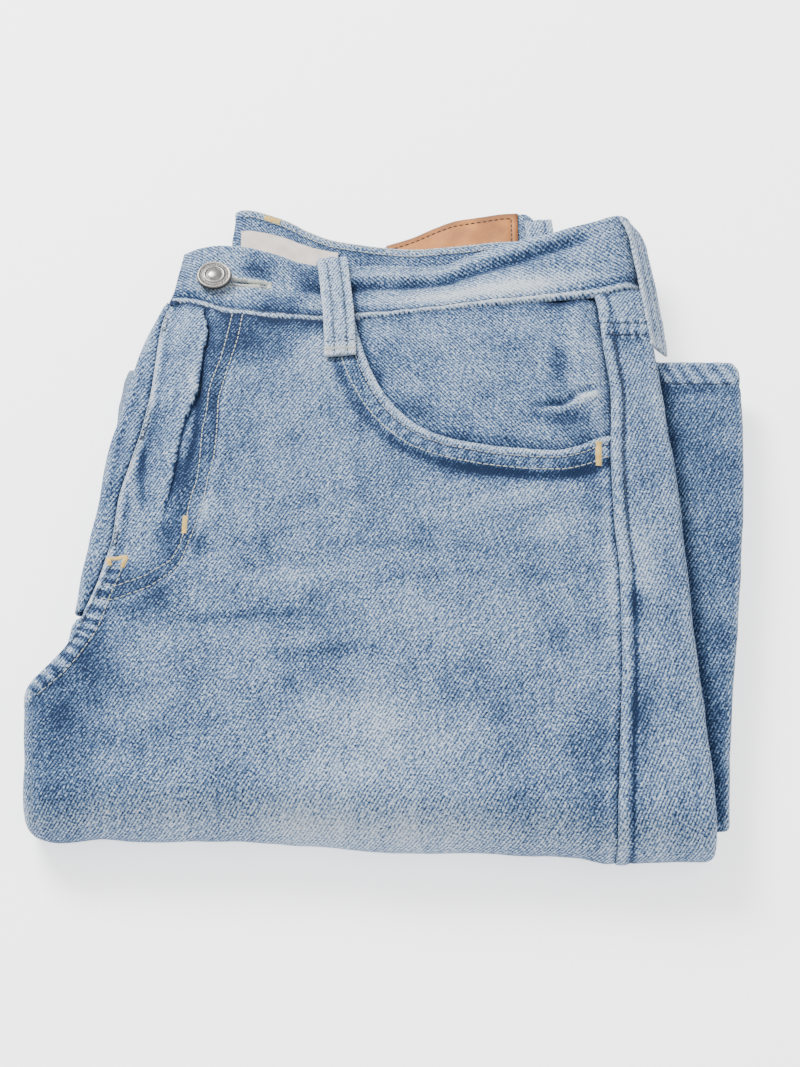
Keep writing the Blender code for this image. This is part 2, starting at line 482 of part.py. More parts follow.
def core_section(y_left, y_right, y_at, waist, wrapped, turn):
    """Outline of the hidden layers across the stack: (x, over, height) from the top left, clockwise.

    waist is true beyond the ends of the lower layers, and wrapped where the panels' flaps lie beneath.
    """
    roll_x, roll_z = (float(v) for v in right_roll(y_right))
    roll_z *= fold_squeeze(turn)
    edge = along(RIGHT_EDGE, y_right)
    middle = edge - roll_x
    top_right = top_height(middle, y_right)
    left = along(LEFT_EDGE, y_left)
    open_leg = y_left < CROTCH_Y + 1.8
    left_x, left_z = (4.2, 3.3) if open_leg else (float(v) for v in left_roll(y_left))
    opening = open_leg and y_left > CROTCH_Y - 8
    left_middle = left + left_x + (4.6 if opening else 0.0)
    top_left = top_height(left_middle, y_left)
    inset = CLOTH + CORE_GAP
    points = []
    for share in np.linspace(0, 1, CORE_ACROSS):
        x = left_middle + (middle - left_middle) * share
        points.append((x, x, top_height(x, y_at(x)) - core_depth(x, y_at(x))))
    for turned in np.radians((40, 80, 120, 158)):
        points.append((middle + (roll_x - inset) * math.sin(turned), middle,
                       top_right - roll_z + (roll_z - inset) * math.cos(turned)))
    lowest = top_right - 2 * roll_z + inset
    leg = leg_top(0, y_right)
    groove = middle - 0.4
    slot = middle - 2.6
    if waist:
        band = np.linspace(lowest - 0.4, 4.6, 12)
        for height in band:
            points.append((slot, middle, height))
        lip = [(groove - 0.5, 4.3), (edge - 8, 3.6), (edge - 7, 2.2), (edge - 8, 0.8), (edge - 10, 0.0)]
        points += [(x, middle, height) for x, height in lip]
    else:
        reach = along(LEG_RIGHT_EDGE, min(y_right, HEM_Y - 3))
        drop = 20.9 - leg
        lip = [(groove, lowest), (slot, leg + 0.5), (slot, leg - inset), (reach - 5.2, leg - inset),
               (reach - 4.0, leg - 2.9), (reach - 3.8, leg - 3.4), (reach - 4.2, leg - 4.2),
               (reach - 8, 15.4 - drop), (reach - 3.6, 14.4 - drop), (reach - 2.0, 12.0 - drop / 2),
               (reach - 3.8, 9.6), (reach - 9, 9.2)]
        if wrapped:
            lip += [(middle - 4.0, 8.4), (middle - 4.0, 5.0), (middle - 2.6, 4.2), (middle - 2.2, 3.2),
                    (middle - 4.0, 2.4)]
        else:
            lip += [(edge - 3.2, 8.3), (edge - 1.0, 7.0), (edge - 0.4, 4.4), (edge - 1.2, 1.4), (edge - 3.6, 0.0)]
        points += [(x, middle, height) for x, height in lip]
    right_foot = points[-1][0]
    left_leg = along(LEG_LEFT_EDGE, y_left)
    left_foot = left + 10 if waist else left_leg + 5
    right_foot -= 2.0
    left_foot += 2.0
    for share in np.linspace(0, 1, CORE_ACROSS):
        points.append((right_foot + (left_foot - right_foot) * share, 0.0, 0.0))
    low_left = top_left - 2 * left_z + inset
    back = left_middle + 2.0
    if waist:
        lip = [(left + 10, 0.0), (left + 8, 0.8), (left + 7, 2.2), (left + 8, 3.6), (left_middle + 1, 4.2)]
        points += [(x, left_middle, height) for x, height in lip]
        for height in np.linspace(4.6, low_left - 0.4, 13):
            points.append((back, left_middle, height))
    else:
        second = left + 1.0 if open_leg else back
        if wrapped:
            lip = [(left_leg + 10, 2.4), (left_leg + 8, 2.8), (left_leg + 7, 3.4), (left_leg + 8, 4.2),
                   (left_leg + 10, 8.0)]
        else:
            lip = [(left_leg + 5, 0.0), (left_leg + 2.6, 1.4), (left_leg + 1.8, 4.2), (left_leg + 2.6, 7.2),
                   (left_leg + 6, 8.3)]
        lip += [(left_leg + 3.4, 9.0), (left_leg + 1.6, 11.0), (left_leg + 3.2, 13.0), (left_leg + 6, 13.5),
                (left_leg + 1.2, 14.1), (left_leg, 16.0), (left_leg + 1.2, 17.8), (left_leg + 6, 18.4)]
        points += [(x, left_middle, height) for x, height in lip]
        room = top_left - 2 * left_z - 0.9 - 18.8
        rest = [(max(second + 3, back), 18.8), (second + 0.8, 18.8 + 0.15 * room), (second, 18.8 + 0.45 * room),
                (second + 0.8, 18.8 + 0.8 * room), (back, 18.8 + room)]
        points += [(x, left_middle, height) for x, height in rest]
    for turned in np.radians((158, 120, 80, 40)):
        points.append((left_middle - (left_x - inset - 0.7) * math.sin(turned), left_middle,
                       top_left - left_z - 0.2 + (left_z - inset - 0.2) * math.cos(turned)))
    return np.array(points, float)


def core_point(x, y, over, height, turn):
    """A point of the hidden layers, turned round the near fold with them."""
    if turn <= 0:
        return (x, y, height)
    line = near_line(x)
    skin = top_height(over, line)
    if height >= FOLD_HEIGHT:
        return tuple(place(x, y, skin - height, turn, 0.0, over))
    share = (1 - height / FOLD_HEIGHT) * (0.78 if x > 118 and height > 8 else 1)
    reach = skin - FOLD_HEIGHT
    radius = reach + (FOLD_HEIGHT - reach) * smooth(0, math.pi, math.pi - turn)
    return (x, line - FOLD_REACH * share * math.sin(turn), FOLD_HEIGHT - radius * share * math.cos(turn))


def folded_layers(finish, group):
    """All that the visible cloth hides, as one rounded solid whose sides step in and out with the layers."""
    body_end = 66.0
    turns = [math.radians(a) for a in (80, 62, 44, 26, 12)]
    offsets = (0.0, 12.0, 24.0, FLAP_UNDER + 0.4)
    shares = (0.0, 0.045, 0.081, 0.118, 0.151, 0.193, 0.2135, 0.2235, 0.2695, 0.277, 0.36, 0.45, 0.54, 0.64, 0.74, 0.83, 0.92, 1.0)
    loops = []

    def add_loop(y_at, waist, turn, floor):
        left = along(LEFT_EDGE, y_at(-140.0)) + 3.0
        section = core_section(float(y_at(left)), float(y_at(124.0)), y_at, waist, floor > 0, turn)
        loop = []
        for x, over, height in section:
            height = max(height, floor)
            loop.append(core_point(x, float(y_at(x)), over, height, turn))
        loops.append(loop)

    def near_row(offset):
        return lambda x: near_line(x) + offset

    def body_row(share):
        start = FLAP_UNDER + 0.8
        return lambda x: near_line(x) + start + (body_end - near_line(x) - start) * share

    for turn in turns:
        add_loop(near_row(0.0), 0, turn, CLOTH + CORE_GAP)
    for offset in offsets:
        add_loop(near_row(offset), 0, 0.0, CLOTH + CORE_GAP)
    for share in shares:
        add_loop(body_row(share), 0, 0.0, 0.0)
    add_loop(lambda x: 70.6 + 0 * x, 0, 0.0, 0.0)
    wall_right = float(along(RIGHT_EDGE, HEM_Y)) - 7.6
    wall_left = float(along(LEFT_EDGE, HEM_Y)) + 6.6
    loops.append([(min(max(x, wall_left), wall_right) if z < 20 else x, 71.2, z) for x, y, z in loops[-1]])
    add_loop(lambda x: 71.8 + 0 * x, 1, 0.0, 0.0)

    def waist_row(share):
        return lambda x: 71.8 + (along(WAIST_SEAM, x) - SEAM_GAP - 71.8) * share

    for share in (0.35, 0.7, 0.93):
        add_loop(waist_row(share), 1, 0.0, 0.0)
    loops.append(tongue_loop(loops[-1], 0.0, 0.0))
    for share in (0.02, 0.5, 1.0):
        loops.append(tongue_loop(loops[-1], share, 3.5))
    points = np.array(loops).reshape(-1, 3)
    around = len(loops[0])
    faces = []
    for r in range(len(loops) - 1):
        for c in range(around):
            a = r * around + c
            b = r * around + (c + 1) % around
            faces.append((a, b, b + around, a + around))
    faces += cap_faces(around, 0) + cap_faces(around, (len(loops) - 1) * around)
    made = add_object("folded_layers", points, faces, finish, group)
    return made


def cap_faces(around, first):
    """Faces that close an end: strips from the top row to the floor row, and one piece for each side."""
    floor = CORE_ACROSS + 4 + 17
    faces = []
    for k in range(CORE_ACROSS - 1):
        low = floor + CORE_ACROSS - 1 - k
        faces.append(tuple(first + n for n in (k, k + 1, low - 1, low)))
    faces.append(tuple(first + n for n in range(CORE_ACROSS - 1, floor + 1)))
    faces.append(tuple(first + n for n in list(range(floor + CORE_ACROSS - 1, around)) + [0]))
    return faces


def band_edge(parts, column, edge):
    """A table of (x, value) for one edge of the waistband's stations, sorted by x."""
    rows = {station[edge][0]: station[edge][column] for station in parts}
    return sorted(rows.items())


def tongue_loop(before, share, floor):
    """The cloth that goes on beyond the front waistband seam to the back waistband's lower edge."""
    left_end, right_end = -72.0, 98.0
    loop = []
    back_y = band_edge(BACK_BAND_LEFT + BACK_BAND_RIGHT[:1], 1, 1)
    right_y = band_edge(BACK_BAND_RIGHT, 1, 1)
    front_z = band_edge(FRONT_BAND, 2, 1)
    for x, y, z in before:
        x_new = min(max(x, left_end), right_end) if floor else x
        seam = float(along(WAIST_SEAM, x_new)) - SEAM_GAP
        end = min(float(along(back_y, x_new)), float(along(right_y, x_new))) - CORE_GAP
        y_new = seam + (end - seam) * share
        ceiling = float(along(front_z, x_new)) - BAND_THICK / 2 - CORE_GAP
        ceiling += (13.2 - ceiling) * share
        loop.append((x_new, y_new, float(np.clip(z, floor, ceiling))))
    return loop


def waistband(finish, group, slit):
    """One ribbon, doubled back and forth from the buttonhole end to the button end."""
    stations = (FRONT_BAND + RIGHT_FOLD + BACK_BAND_LEFT + CENTRE_BACK_FOLD + BACK_BAND_RIGHT + RIGHT_UNDER_FOLD
                + RIGHT_FRONT_BAND + LEFT_WRAP)
    top = np.array([s[0] for s in stations])
    low = np.array([s[1] for s in stations])
    middle = np.array([low + (top - low) * share for share in BAND_ACROSS])
    front = len(FRONT_BAND)
    crease = smooth(-60, -25, middle[:, :front, 0]) * (1 - smooth(80, 96, middle[:, :front, 0]))
    across = np.array(BAND_ACROSS)[:, None]
    middle[:, :front, 2] += crease * (0.9 * np.exp(-(((across - 0.48) / 0.12) ** 2))
                                      - 0.9 * np.exp(-(((across - 0.68) / 0.12) ** 2)))
    made = ribbon_solid("waistband", middle, BAND_THICK, finish, group)
    cut = made.modifiers.new("buttonhole", "BOOLEAN")
    cut.operation = "DIFFERENCE"
    cut.solver = "EXACT"
    cut.object = slit
    return made


def loop_ribbon(name, line, side, width, finish, group):
    """A belt loop: a strip along a line of points, its width along the given direction."""
    line = np.array(line)
    side = np.array(side, float)
    side = np.broadcast_to(side, line.shape) if side.ndim == 1 else side
    unit = side / np.linalg.norm(side, axis=1, keepdims=True)
    middle = np.stack([line + unit * width * f for f in (-0.5, -0.2, 0.2, 0.5)], axis=1)
    return ribbon_solid(name, middle, LOOP_THICK, finish, group)


def lathe(name, profile, centre, tilt, finish, group, count=28):
    """A round solid turned from (radius, height) pairs, leaning by tilt degrees about X and Y."""
    points = [(0.0, 0.0, profile[0][1])]
    for radius, height in profile[1:-1]:
        for k in range(count):
            angle = 2 * math.pi * k / count
            points.append((radius * math.cos(angle), radius * math.sin(angle), height))
    points.append((0.0, 0.0, profile[-1][1]))
    faces = [(0, 1 + (k + 1) % count, 1 + k) for k in range(count)]
    rings = len(profile) - 2
    for r in range(rings - 1):
        for k in range(count):
            a = 1 + r * count + k
            b = 1 + r * count + (k + 1) % count
            faces.append((a, b, b + count, a + count))
    last = len(points) - 1
    faces += [(last, last - count + k, last - count + (k + 1) % count) for k in range(count)]
    turned = np.array(points)
    lean_x, lean_y = (math.radians(a) for a in tilt)
    spin_x = np.array([[1, 0, 0], [0, math.cos(lean_x), -math.sin(lean_x)], [0, math.sin(lean_x), math.cos(lean_x)]])
    spin_y = np.array([[math.cos(lean_y), 0, math.sin(lean_y)], [0, 1, 0], [-math.sin(lean_y), 0, math.cos(lean_y)]])
    return add_object(name, turned @ (spin_y @ spin_x).T + np.array(centre), faces, finish, group)


def slit_cutter(group, finish):
    """Rounded slot through the upper end of the waistband, from the button towards the right."""
    outline = []
    half = SLIT_WIDTH / 2
    start, end = BUTTON_X - half - 0.4, BUTTON_X + SLIT_LENGTH
    slope = -3.0 / SLIT_LENGTH
    for centre, first in ((end, -90), (start, 90)):
        for k in range(7):
            angle = math.radians(first + 30 * k)
            outline.append((centre + half * math.cos(angle), half * math.sin(angle)))
    points = []
    for low in (True, False):
        for x, y in outline:
            if low:
                height = 17.3
            else:
                height = 28.0
            points.append((x, BUTTON_Y + y + slope * (x - BUTTON_X), height))
    count = len(outline)
    faces = [tuple(range(count)), tuple(range(2 * count - 1, count - 1, -1))]
    faces += [(k, (k + 1) % count, (k + 1) % count + count, k + count) for k in range(count)]
    made = add_object("buttonhole_cutter", points, faces, finish, group)
    made.hide_render = True
    made.display_type = "WIRE"
    return made


def patch_grid(parts, start, end, from_top, to_bottom, lift, columns, rows):
    """Points just above a stretch of the waistband, between two depths below its top edge."""
    top = {c: band_edge(parts, c, 0) for c in (1, 2)}
    low = {c: band_edge(parts, c, 1) for c in (1, 2)}
    grid = []
    for down in np.linspace(from_top, to_bottom, rows):
        share = down / BAND_WIDTH
        x = np.linspace(start, end, columns)
        y = along(top[1], x) + (along(low[1], x) - along(top[1], x)) * share
        z = along(top[2], x) + (along(low[2], x) - along(top[2], x)) * share
        grid.append(np.stack([x, y, z + BAND_THICK / 2 + lift], axis=1))
    return np.array(grid)


def build():
    for old in list(bpy.data.objects):
        bpy.data.objects.remove(old, do_unlink=True)
    parts = bpy.data.collections.new("folded_jeans")
    cutters = bpy.data.collections.new("cutters")
    for group in (parts, cutters):
        bpy.context.scene.collection.children.link(group)
    denim = material("denim_front", DENIM, 0.9)
    left_front(denim, parts)
    side = material("denim_back", DENIM, 0.9)
    rows_top = (0.0, 0.02, 0.08, 0.16, 0.24, 0.32, 0.4, 0.48, 0.56, 0.64, 0.72, 0.8, 0.88, 0.95)
    fold = (0, 20, 40, 60, 80, 100, 120, 140, 160, 180)
    side_strip("left_back", lambda x: yoke_line(x) - SEAM_GAP, leg_rows(rows_top, fold, (10, FLAP_UNDER)), side, parts)
    yoke = material("denim_yoke", DENIM, 0.9)
    whole = float(yoke_line(105.0) - near_line(105.0))
    yoke_rows = []
    for share in (0.0, 0.33, 0.66, 1.0):
        yoke_rows.append((share, 0.0, 0.0))
    yoke_start = yoke_grid_start
    side_strip_between("back_yoke", yoke_start, yoke_line, yoke_rows, yoke, parts)
    right_front_strip(material("denim_right_front", FADED_DENIM, 0.9), parts)
    pocket_facing(material("denim_facing", DENIM, 0.9), parts)
    lower_leg(material("denim_leg", FADED_DENIM, 0.9), parts)
    folded_layers(material("denim_layers", DARK_DENIM, 0.92), parts)
    cutter_finish = material("cutter", (0.5, 0.5, 0.5), 0.5)
    slit = slit_cutter(cutters, cutter_finish)
    waistband(material("denim_waistband", DENIM, 0.9), parts, slit)
    loops = material("denim_loops", FADED_DENIM, 0.9)
    loop_ribbon("belt_loop_front", FRONT_LOOP, (1, 0.09, 0.02), LOOP_WIDTH, loops, parts)
    loop_ribbon("belt_loop_side", SIDE_LOOP, (0.3, 0.05, -1), LOOP_WIDTH, material("denim_side_loop", FADED_DENIM, 0.9), parts)
    loop_ribbon("belt_loop_back", BACK_LOOP, (1, 0.1, 0), LOOP_WIDTH - 1, material("denim_back_loop", FADED_DENIM, 0.9), parts)
    metal = material("button_metal", (0.42, 0.41, 0.38), 0.4, 1.0)
    head = [(0, 1.0), (SHANK_RADIUS + 1.3, 1.0), (SHANK_RADIUS, 1.4), (SHANK_RADIUS, 7.4), (BUTTON_RADIUS - 1.0, 7.4),
            (BUTTON_RADIUS, 8.1), (BUTTON_RADIUS, 8.9), (BUTTON_RADIUS - 0.7, 9.6), (BUTTON_RADIUS - 2.0, 9.6),
            (BUTTON_RADIUS - 2.6, 9.1), (4.4, 9.2), (3.0, 9.9), (0, 10.2)]
    lathe("button", head, (BUTTON_X, BUTTON_Y, 17.6), (0, 0), metal, parts)
    patch = patch_grid(BACK_BAND_RIGHT, -6.0, 57.0, 1.6, 34.0, LAYER_GAP - 0.1 + PATCH_THICK, 13, 5)
    sheet_solid("leather_patch", patch, PATCH_THICK, material("patch_leather", (0.62, 0.36, 0.17), 0.7), parts)
    label = patch_grid(BACK_BAND_LEFT, -72.0, -38.0, 11.5, 33.0, LAYER_GAP - 0.1 + LABEL_THICK, 9, 4)
    sheet_solid("size_label", label, LABEL_THICK, material("label_tape", (0.86, 0.82, 0.72), 0.85), parts)


def yoke_grid_start(x):
    return along(WAIST_SEAM, x) - SEAM_GAP


def side_strip_between(name, start, end, rows, finish, group):
    """Yoke: the short strip between the waistband seam and the yoke seam."""
    shares = np.array((0.0, 0.12, 0.24, 0.3, 0.5, 0.75, 1.0))
    turned = np.radians((25, 50, 75, 100, 130, 160))
    grid = []
    for share, _, _ in rows:
        x = np.concatenate([np.linspace(92, 112, len(shares)), np.full(len(turned), 116.0)])
        for _ in range(6):
            y = start(x) + (end(x) - start(x)) * share
            roll_x, roll_z = right_roll(y)
            side = along(SIDE_SEAM, y) + SEAM_GAP / 2
            middle = along(RIGHT_EDGE, y) - roll_x
            flat = len(shares)
            x[:flat] = side[:flat] + (middle[:flat] - side[:flat]) * shares
            x[flat:] = middle[flat:] + roll_x[flat:] * np.sin(turned)
        depth = -SEAM_RIDGE * (1 - smooth(SEAM_RIDGE_WIDTH - 1.5, SEAM_RIDGE_WIDTH + 1.5, x - side))
        depth[flat:] += roll_z[flat:] * (1 - np.cos(turned))
        grid.append(place(x, y, depth, 0.0, 0.0, np.minimum(x, middle)))
    return sheet_solid(name, np.array(grid), CLOTH, finish, group)


build()
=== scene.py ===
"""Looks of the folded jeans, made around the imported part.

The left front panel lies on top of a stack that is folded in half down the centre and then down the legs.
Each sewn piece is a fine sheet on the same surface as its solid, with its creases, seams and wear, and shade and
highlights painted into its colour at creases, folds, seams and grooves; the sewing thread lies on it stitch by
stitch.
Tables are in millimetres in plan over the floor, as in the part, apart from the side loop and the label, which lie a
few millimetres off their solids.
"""

import math

import bpy
import numpy as np
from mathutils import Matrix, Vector
from mathutils.bvhtree import BVHTree


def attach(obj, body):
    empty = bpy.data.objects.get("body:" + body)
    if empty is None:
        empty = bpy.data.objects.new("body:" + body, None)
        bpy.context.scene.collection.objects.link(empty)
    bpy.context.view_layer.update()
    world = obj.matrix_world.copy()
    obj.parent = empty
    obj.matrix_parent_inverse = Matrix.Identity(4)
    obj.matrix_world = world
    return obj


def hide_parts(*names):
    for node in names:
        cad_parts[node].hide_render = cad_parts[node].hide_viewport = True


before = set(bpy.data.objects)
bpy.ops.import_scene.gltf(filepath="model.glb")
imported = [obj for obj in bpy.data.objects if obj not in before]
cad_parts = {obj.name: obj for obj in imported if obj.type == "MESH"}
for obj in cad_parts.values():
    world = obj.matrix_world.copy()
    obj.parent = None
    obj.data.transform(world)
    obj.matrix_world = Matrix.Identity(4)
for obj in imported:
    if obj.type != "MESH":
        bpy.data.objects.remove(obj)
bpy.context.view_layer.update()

MM = 0.001
CENTRE_X = 0.32
CENTRE_Y = -2.53

# Cloth and sewn parts
CLOTH = 1.35
SEAM_GAP = 0.35
LAYER_GAP = 0.45
FACING_GAP = 0.9
BAND_THICK = 3.0
BAND_WIDTH = 38.0
LOOP_THICK = 1.9
LOOP_WIDTH = 14.5
PATCH_THICK = 1.2
LABEL_THICK = 0.7
SEAM_RIDGE = 0.8
SEAM_RIDGE_WIDTH = 5.0
FOLD_HEIGHT = 15.2
FOLD_REACH = 17.0
FLAP_UNDER = 34.0
CROTCH_Y = -70.5
HEM_Y = 72.4
BUTTON_X = -87.5
BUTTON_Y = 119.8
BUTTON_Z = 17.6
BUTTON_RADIUS = 8.3
SLIT_LENGTH = 25.0
SLIT_SLOPE = 3.0 / SLIT_LENGTH
PATCH_START, PATCH_END = -6.0, 57.0
LABEL_START, LABEL_END = -76.5, -30.0
TRIM_LIFT = LAYER_GAP - 0.1
MOUTH_START_X = -21.8
LEFT_ROLL_WIDTH = 4.6
RIGHT_ROLL_WIDTH = 5.0

# Stitches, as short tubes
STITCH_RINGS = 5
STITCH_SIDES = 6

# Camera, as estimated from the photograph
CAMERA_TILT = 56.0
CAMERA_DISTANCE = 1.056
FOCAL_PIXELS = 2400.0
PHOTO_HEIGHT = 1067.0
SENSOR = 36.0

# Plan outlines of the upper leg, each as (y, x) from the near edge to the waist
LEFT_EDGE = [
    (-170, -140), (-165, -147), (-158, -152.5), (-150, -153.8), (-142, -154.2), (-128, -155.6), (-110, -156.3),
    (-106, -155.3), (-100, -151.4), (-94, -146.8), (-84, -140.6), (-66, -138.8), (-49, -137.4), (-32, -135.3),
    (-20, -133.6), (-5, -132.2), (12, -131.3), (40, -126.3), (65, -121.7), (84, -118.4), (105, -112.9),
    (121, -107.6), (141, -102),
]
RIGHT_EDGE = [
    (-178, 128.2), (-150, 128.1), (-121, 126.7), (-72, 124.7), (-40, 123.8), (2, 122.3), (38, 119.6),
    (70, 117.2), (90, 115.6), (107, 115.2), (134, 114),
]
SIDE_SEAM = [
    (-179, 83.4), (-160, 88.4), (-135, 90.2), (-115, 91.8), (-95, 93.2), (-53, 94.2), (-24, 93.2), (7, 93.4),
    (21, 94.2), (46, 95.2), (59, 94.3), (75, 92.8), (95, 91.6), (104, 90.2),
]
CENTRE_SEAM = [
    (-112, -155), (-86, -139.6), (-78, -136.9), (-64, -132.5), (-54, -129.4), (-43, -126.9), (-33, -124.7),
    (-12, -123.6), (9, -119.4), (28, -115.5), (47, -113.1), (93, -110.3), (107, -106.6),
]
LEG_RIGHT_EDGE = [
    (-170, 132.6), (-166, 134.4), (-152, 135.4), (-113, 139.3), (-86, 143.1), (-44, 148.3), (-8, 152.4),
    (17, 154.6), (31, 155.4), (58, 156.6), (69, 156.6), (72.4, 154.8),
]

# Plan outlines as (x, y)
NEAR_EDGE = [
    (-158, -155), (-155, -162), (-152, -166), (-147, -169), (-139, -170.6), (-121, -168.2), (-100, -169.2),
    (-81, -168.4), (-48, -170.4), (-20, -172.6), (0, -174.3), (34, -174.7), (57, -175.6), (73, -177),
    (86, -179.6), (97, -178.7), (114, -178.3), (127, -178.8), (136, -178.8),
]
WAIST_SEAM = [
    (-113, 107), (-106, 106), (-93, 103.4), (-83, 98.3), (-69, 95.3), (-51, 93.4), (-37, 92.9), (-21, 94.1),
    (-7, 95.2), (7, 96.3), (34, 99.3), (56, 99.9), (76, 101.4), (88, 102.1), (97, 103.8), (110, 107), (118, 107),
]
POCKET_MOUTH = [
    (-21.8, 94), (-19.9, 83.6), (-17.4, 71.1), (-12.7, 56.2), (-6.8, 43.5), (0, 33.7), (5.8, 27.2), (13.8, 21.8),
    (28.4, 16.8), (45.2, 13.6), (62, 11.7), (70, 11.5), (79.3, 13.6), (86.2, 17.2), (96, 20.6),
]
FACING_END = [
    (-36, 88), (-33, 72), (-29, 58), (-22, 42), (-13, 28), (-2, 17), (12, 9), (28, 4), (45, 0.5), (62, -1.5),
    (79, 0.5), (96, 6),
]

# Heights of the upper leg's top face: rows by y, columns by x
HEIGHT_X = (-157, -135, -112, -92, -60, -25, 20, 60, 92, 110, 126)
HEIGHT_ROWS = {
    -160: (29.5, 32.0, 33.5, 34.0, 34.5, 35.0, 35.0, 35.0, 34.5, 32.8, 31.0),
    -120: (29.5, 32.5, 34.0, 34.5, 35.0, 35.5, 35.5, 35.5, 35.2, 33.5, 31.2),
    -85: (28.5, 31.5, 33.5, 34.5, 35.0, 35.5, 35.5, 35.5, 35.2, 33.5, 31.2),
    -45: (28.0, 30.5, 32.5, 34.0, 34.5, 35.0, 35.5, 35.5, 35.2, 33.5, 31.2),
    -10: (27.0, 29.5, 31.5, 33.5, 34.0, 34.5, 35.0, 35.0, 35.0, 33.5, 31.2),
    20: (26.0, 28.5, 30.5, 33.0, 33.2, 33.5, 34.0, 34.5, 34.5, 33.2, 30.6),
    45: (25.0, 27.0, 29.5, 32.2, 32.4, 32.5, 33.0, 33.5, 34.0, 32.6, 30.0),
    70: (24.0, 25.2, 28.0, 30.2, 30.6, 31.0, 31.6, 32.4, 33.4, 32.0, 29.5),
    92: (22.0, 22.6, 24.4, 26.8, 27.2, 27.2, 28.4, 30.6, 32.8, 31.6, 29.0),
    110: (20.0, 20.4, 21.4, 24.2, 25.0, 25.2, 27.0, 30.0, 32.2, 31.0, 28.0),
}

# Waistband, as stations along it: top edge (x, y, z) and lower edge (x, y, z), the middle of its thickness
FRONT_BAND = [
    ((-101.9, 140.1, 17.6), (-106.0, 106.2, 20.6)), ((-95, 142.9, 18.2), (-98.5, 104.9, 21.6)),
    ((-86, 144.3, 18.5), (-88.5, 100.3, 22.7)), ((-77, 143.8, 18.5), (-79, 97.2, 23.2)),
    ((-67.7, 141.6, 18.2), (-69, 95.3, 23.5)), ((-58, 138.9, 17.6), (-59, 94.1, 23.6)),
    ((-48, 134.9, 16.8), (-49.5, 93.3, 23.6)), ((-36, 132.6, 16.6), (-37.4, 92.9, 23.6)),
    ((-22, 132.4, 16.6), (-22, 94.1, 23.8)), ((-8, 133.2, 16.6), (-8, 95.2, 24.2)),
    ((7, 132.0, 16.8), (6.7, 96.3, 24.8)), ((20, 132.3, 17.4), (20, 98.1, 25.5)),
    ((33, 136.9, 19.2), (33, 99.3, 26.6)), ((46, 139.7, 22.2), (45, 99.6, 27.6)),
    ((59, 141.6, 25.4), (57, 99.9, 28.6)), ((71.7, 143, 28.4), (68, 101.1, 29.4)),
    ((82, 144.4, 30.8), (78, 101.5, 30.1)), ((91, 146.6, 32.6), (88, 102.1, 30.6)),
    ((98, 149.2, 33.2), (97, 103.8, 30.4)),
]
RIGHT_FOLD = [
    ((104, 151.6, 32.0), (104.6, 107.0, 29.2)), ((108.0, 152.4, 28.8), (110.4, 108.6, 25.8)),
    ((109.2, 152.6, 24.6), (112.2, 109.4, 21.4)), ((107.2, 152.4, 20.8), (109.8, 110.8, 17.6)),
    ((102, 152, 18.4), (103.6, 112.5, 15.8)),
]
BACK_BAND_LEFT = [
    ((93, 151.6, 16.8), (94, 113.6, 15.0)), ((78, 151.2, 15.4), (78, 113.2, 14.2)),
    ((62, 151, 14.2), (62, 113, 13.6)), ((47.5, 151.1, 13.4), (47, 113, 13.0)),
    ((35, 149.9, 12.6), (34, 112, 12.6)), ((22, 148.7, 11.9), (21, 110.8, 12.4)),
    ((8, 147.8, 11.5), (7, 109.9, 12.2)), ((-6, 148.6, 11.4), (-7, 110.6, 12.2)),
    ((-20, 150.8, 11.4), (-21, 112.8, 12.2)), ((-32.5, 153.7, 11.4), (-34, 115.8, 12.2)),
    ((-44, 159, 11.4), (-46, 121.2, 12.2)), ((-55, 166, 11.2), (-58, 128.4, 12.0)),
    ((-65, 171, 10.8), (-68, 133.4, 11.6)), ((-73, 174, 10.2), (-75, 136.4, 11.0)),
]
CENTRE_BACK_FOLD = [
    ((-77.4, 174.6, 9.4), (-79.4, 137.2, 10.0)), ((-79.2, 174.7, 8.0), (-81.2, 137.3, 8.2)),
    ((-77.4, 174.6, 6.6), (-79.4, 137.2, 6.4)),
]
BACK_BAND_RIGHT = [
    ((-73, 173.6, 5.9), (-75, 136.0, 5.6)), ((-60, 168, 5.9), (-62, 130.4, 5.6)),
    ((-44, 158, 5.9), (-46, 120.4, 5.6)), ((-28, 152.6, 5.9), (-29, 114.8, 5.6)),
    ((-14, 152.2, 5.9), (-15, 114.4, 5.6)), ((-4, 155.4, 6.0), (-5, 117.5, 5.6)),
    ((6, 159.2, 6.2), (5, 121.2, 5.8)), ((17, 165, 6.7), (16, 127.1, 6.0)),
    ((28, 169.4, 7.2), (27.5, 131.5, 6.4)), ((40, 171.6, 7.5), (40, 133.6, 6.8)),
    ((52, 173.6, 7.6), (52.5, 135.6, 7.0)), ((60.5, 173.8, 7.5), (61.5, 135.9, 7.0)),
    ((67, 168, 7.3), (68.5, 130.2, 6.8)), ((76, 158.6, 6.9), (77.5, 120.8, 6.4)),
    ((88, 153.6, 6.4), (89, 115.8, 6.0)), ((98, 152, 5.9), (99, 114.2, 5.7)),
]
RIGHT_UNDER_FOLD = [
    ((104, 151.4, 5.4), (105, 113.6, 5.2)), ((106.2, 150.6, 3.7), (107.2, 112.8, 3.6)),
    ((104, 149.6, 2.0), (105, 111.6, 2.0)),
]
RIGHT_FRONT_BAND = [
    ((98, 147, 1.5), (98, 109, 1.5)), ((78, 141, 1.5), (78, 103.4, 1.5)), ((50, 139, 1.5), (50, 101.4, 1.5)),
    ((20, 137, 1.5), (20, 99.6, 1.5)), ((-10, 134.4, 1.5), (-10, 96.8, 1.5)), ((-40, 132.2, 1.5), (-40, 94.6, 1.5)),
    ((-66, 135, 1.5), (-68, 97.4, 1.5)), ((-86, 139, 1.5), (-90, 104.4, 1.5)),
]
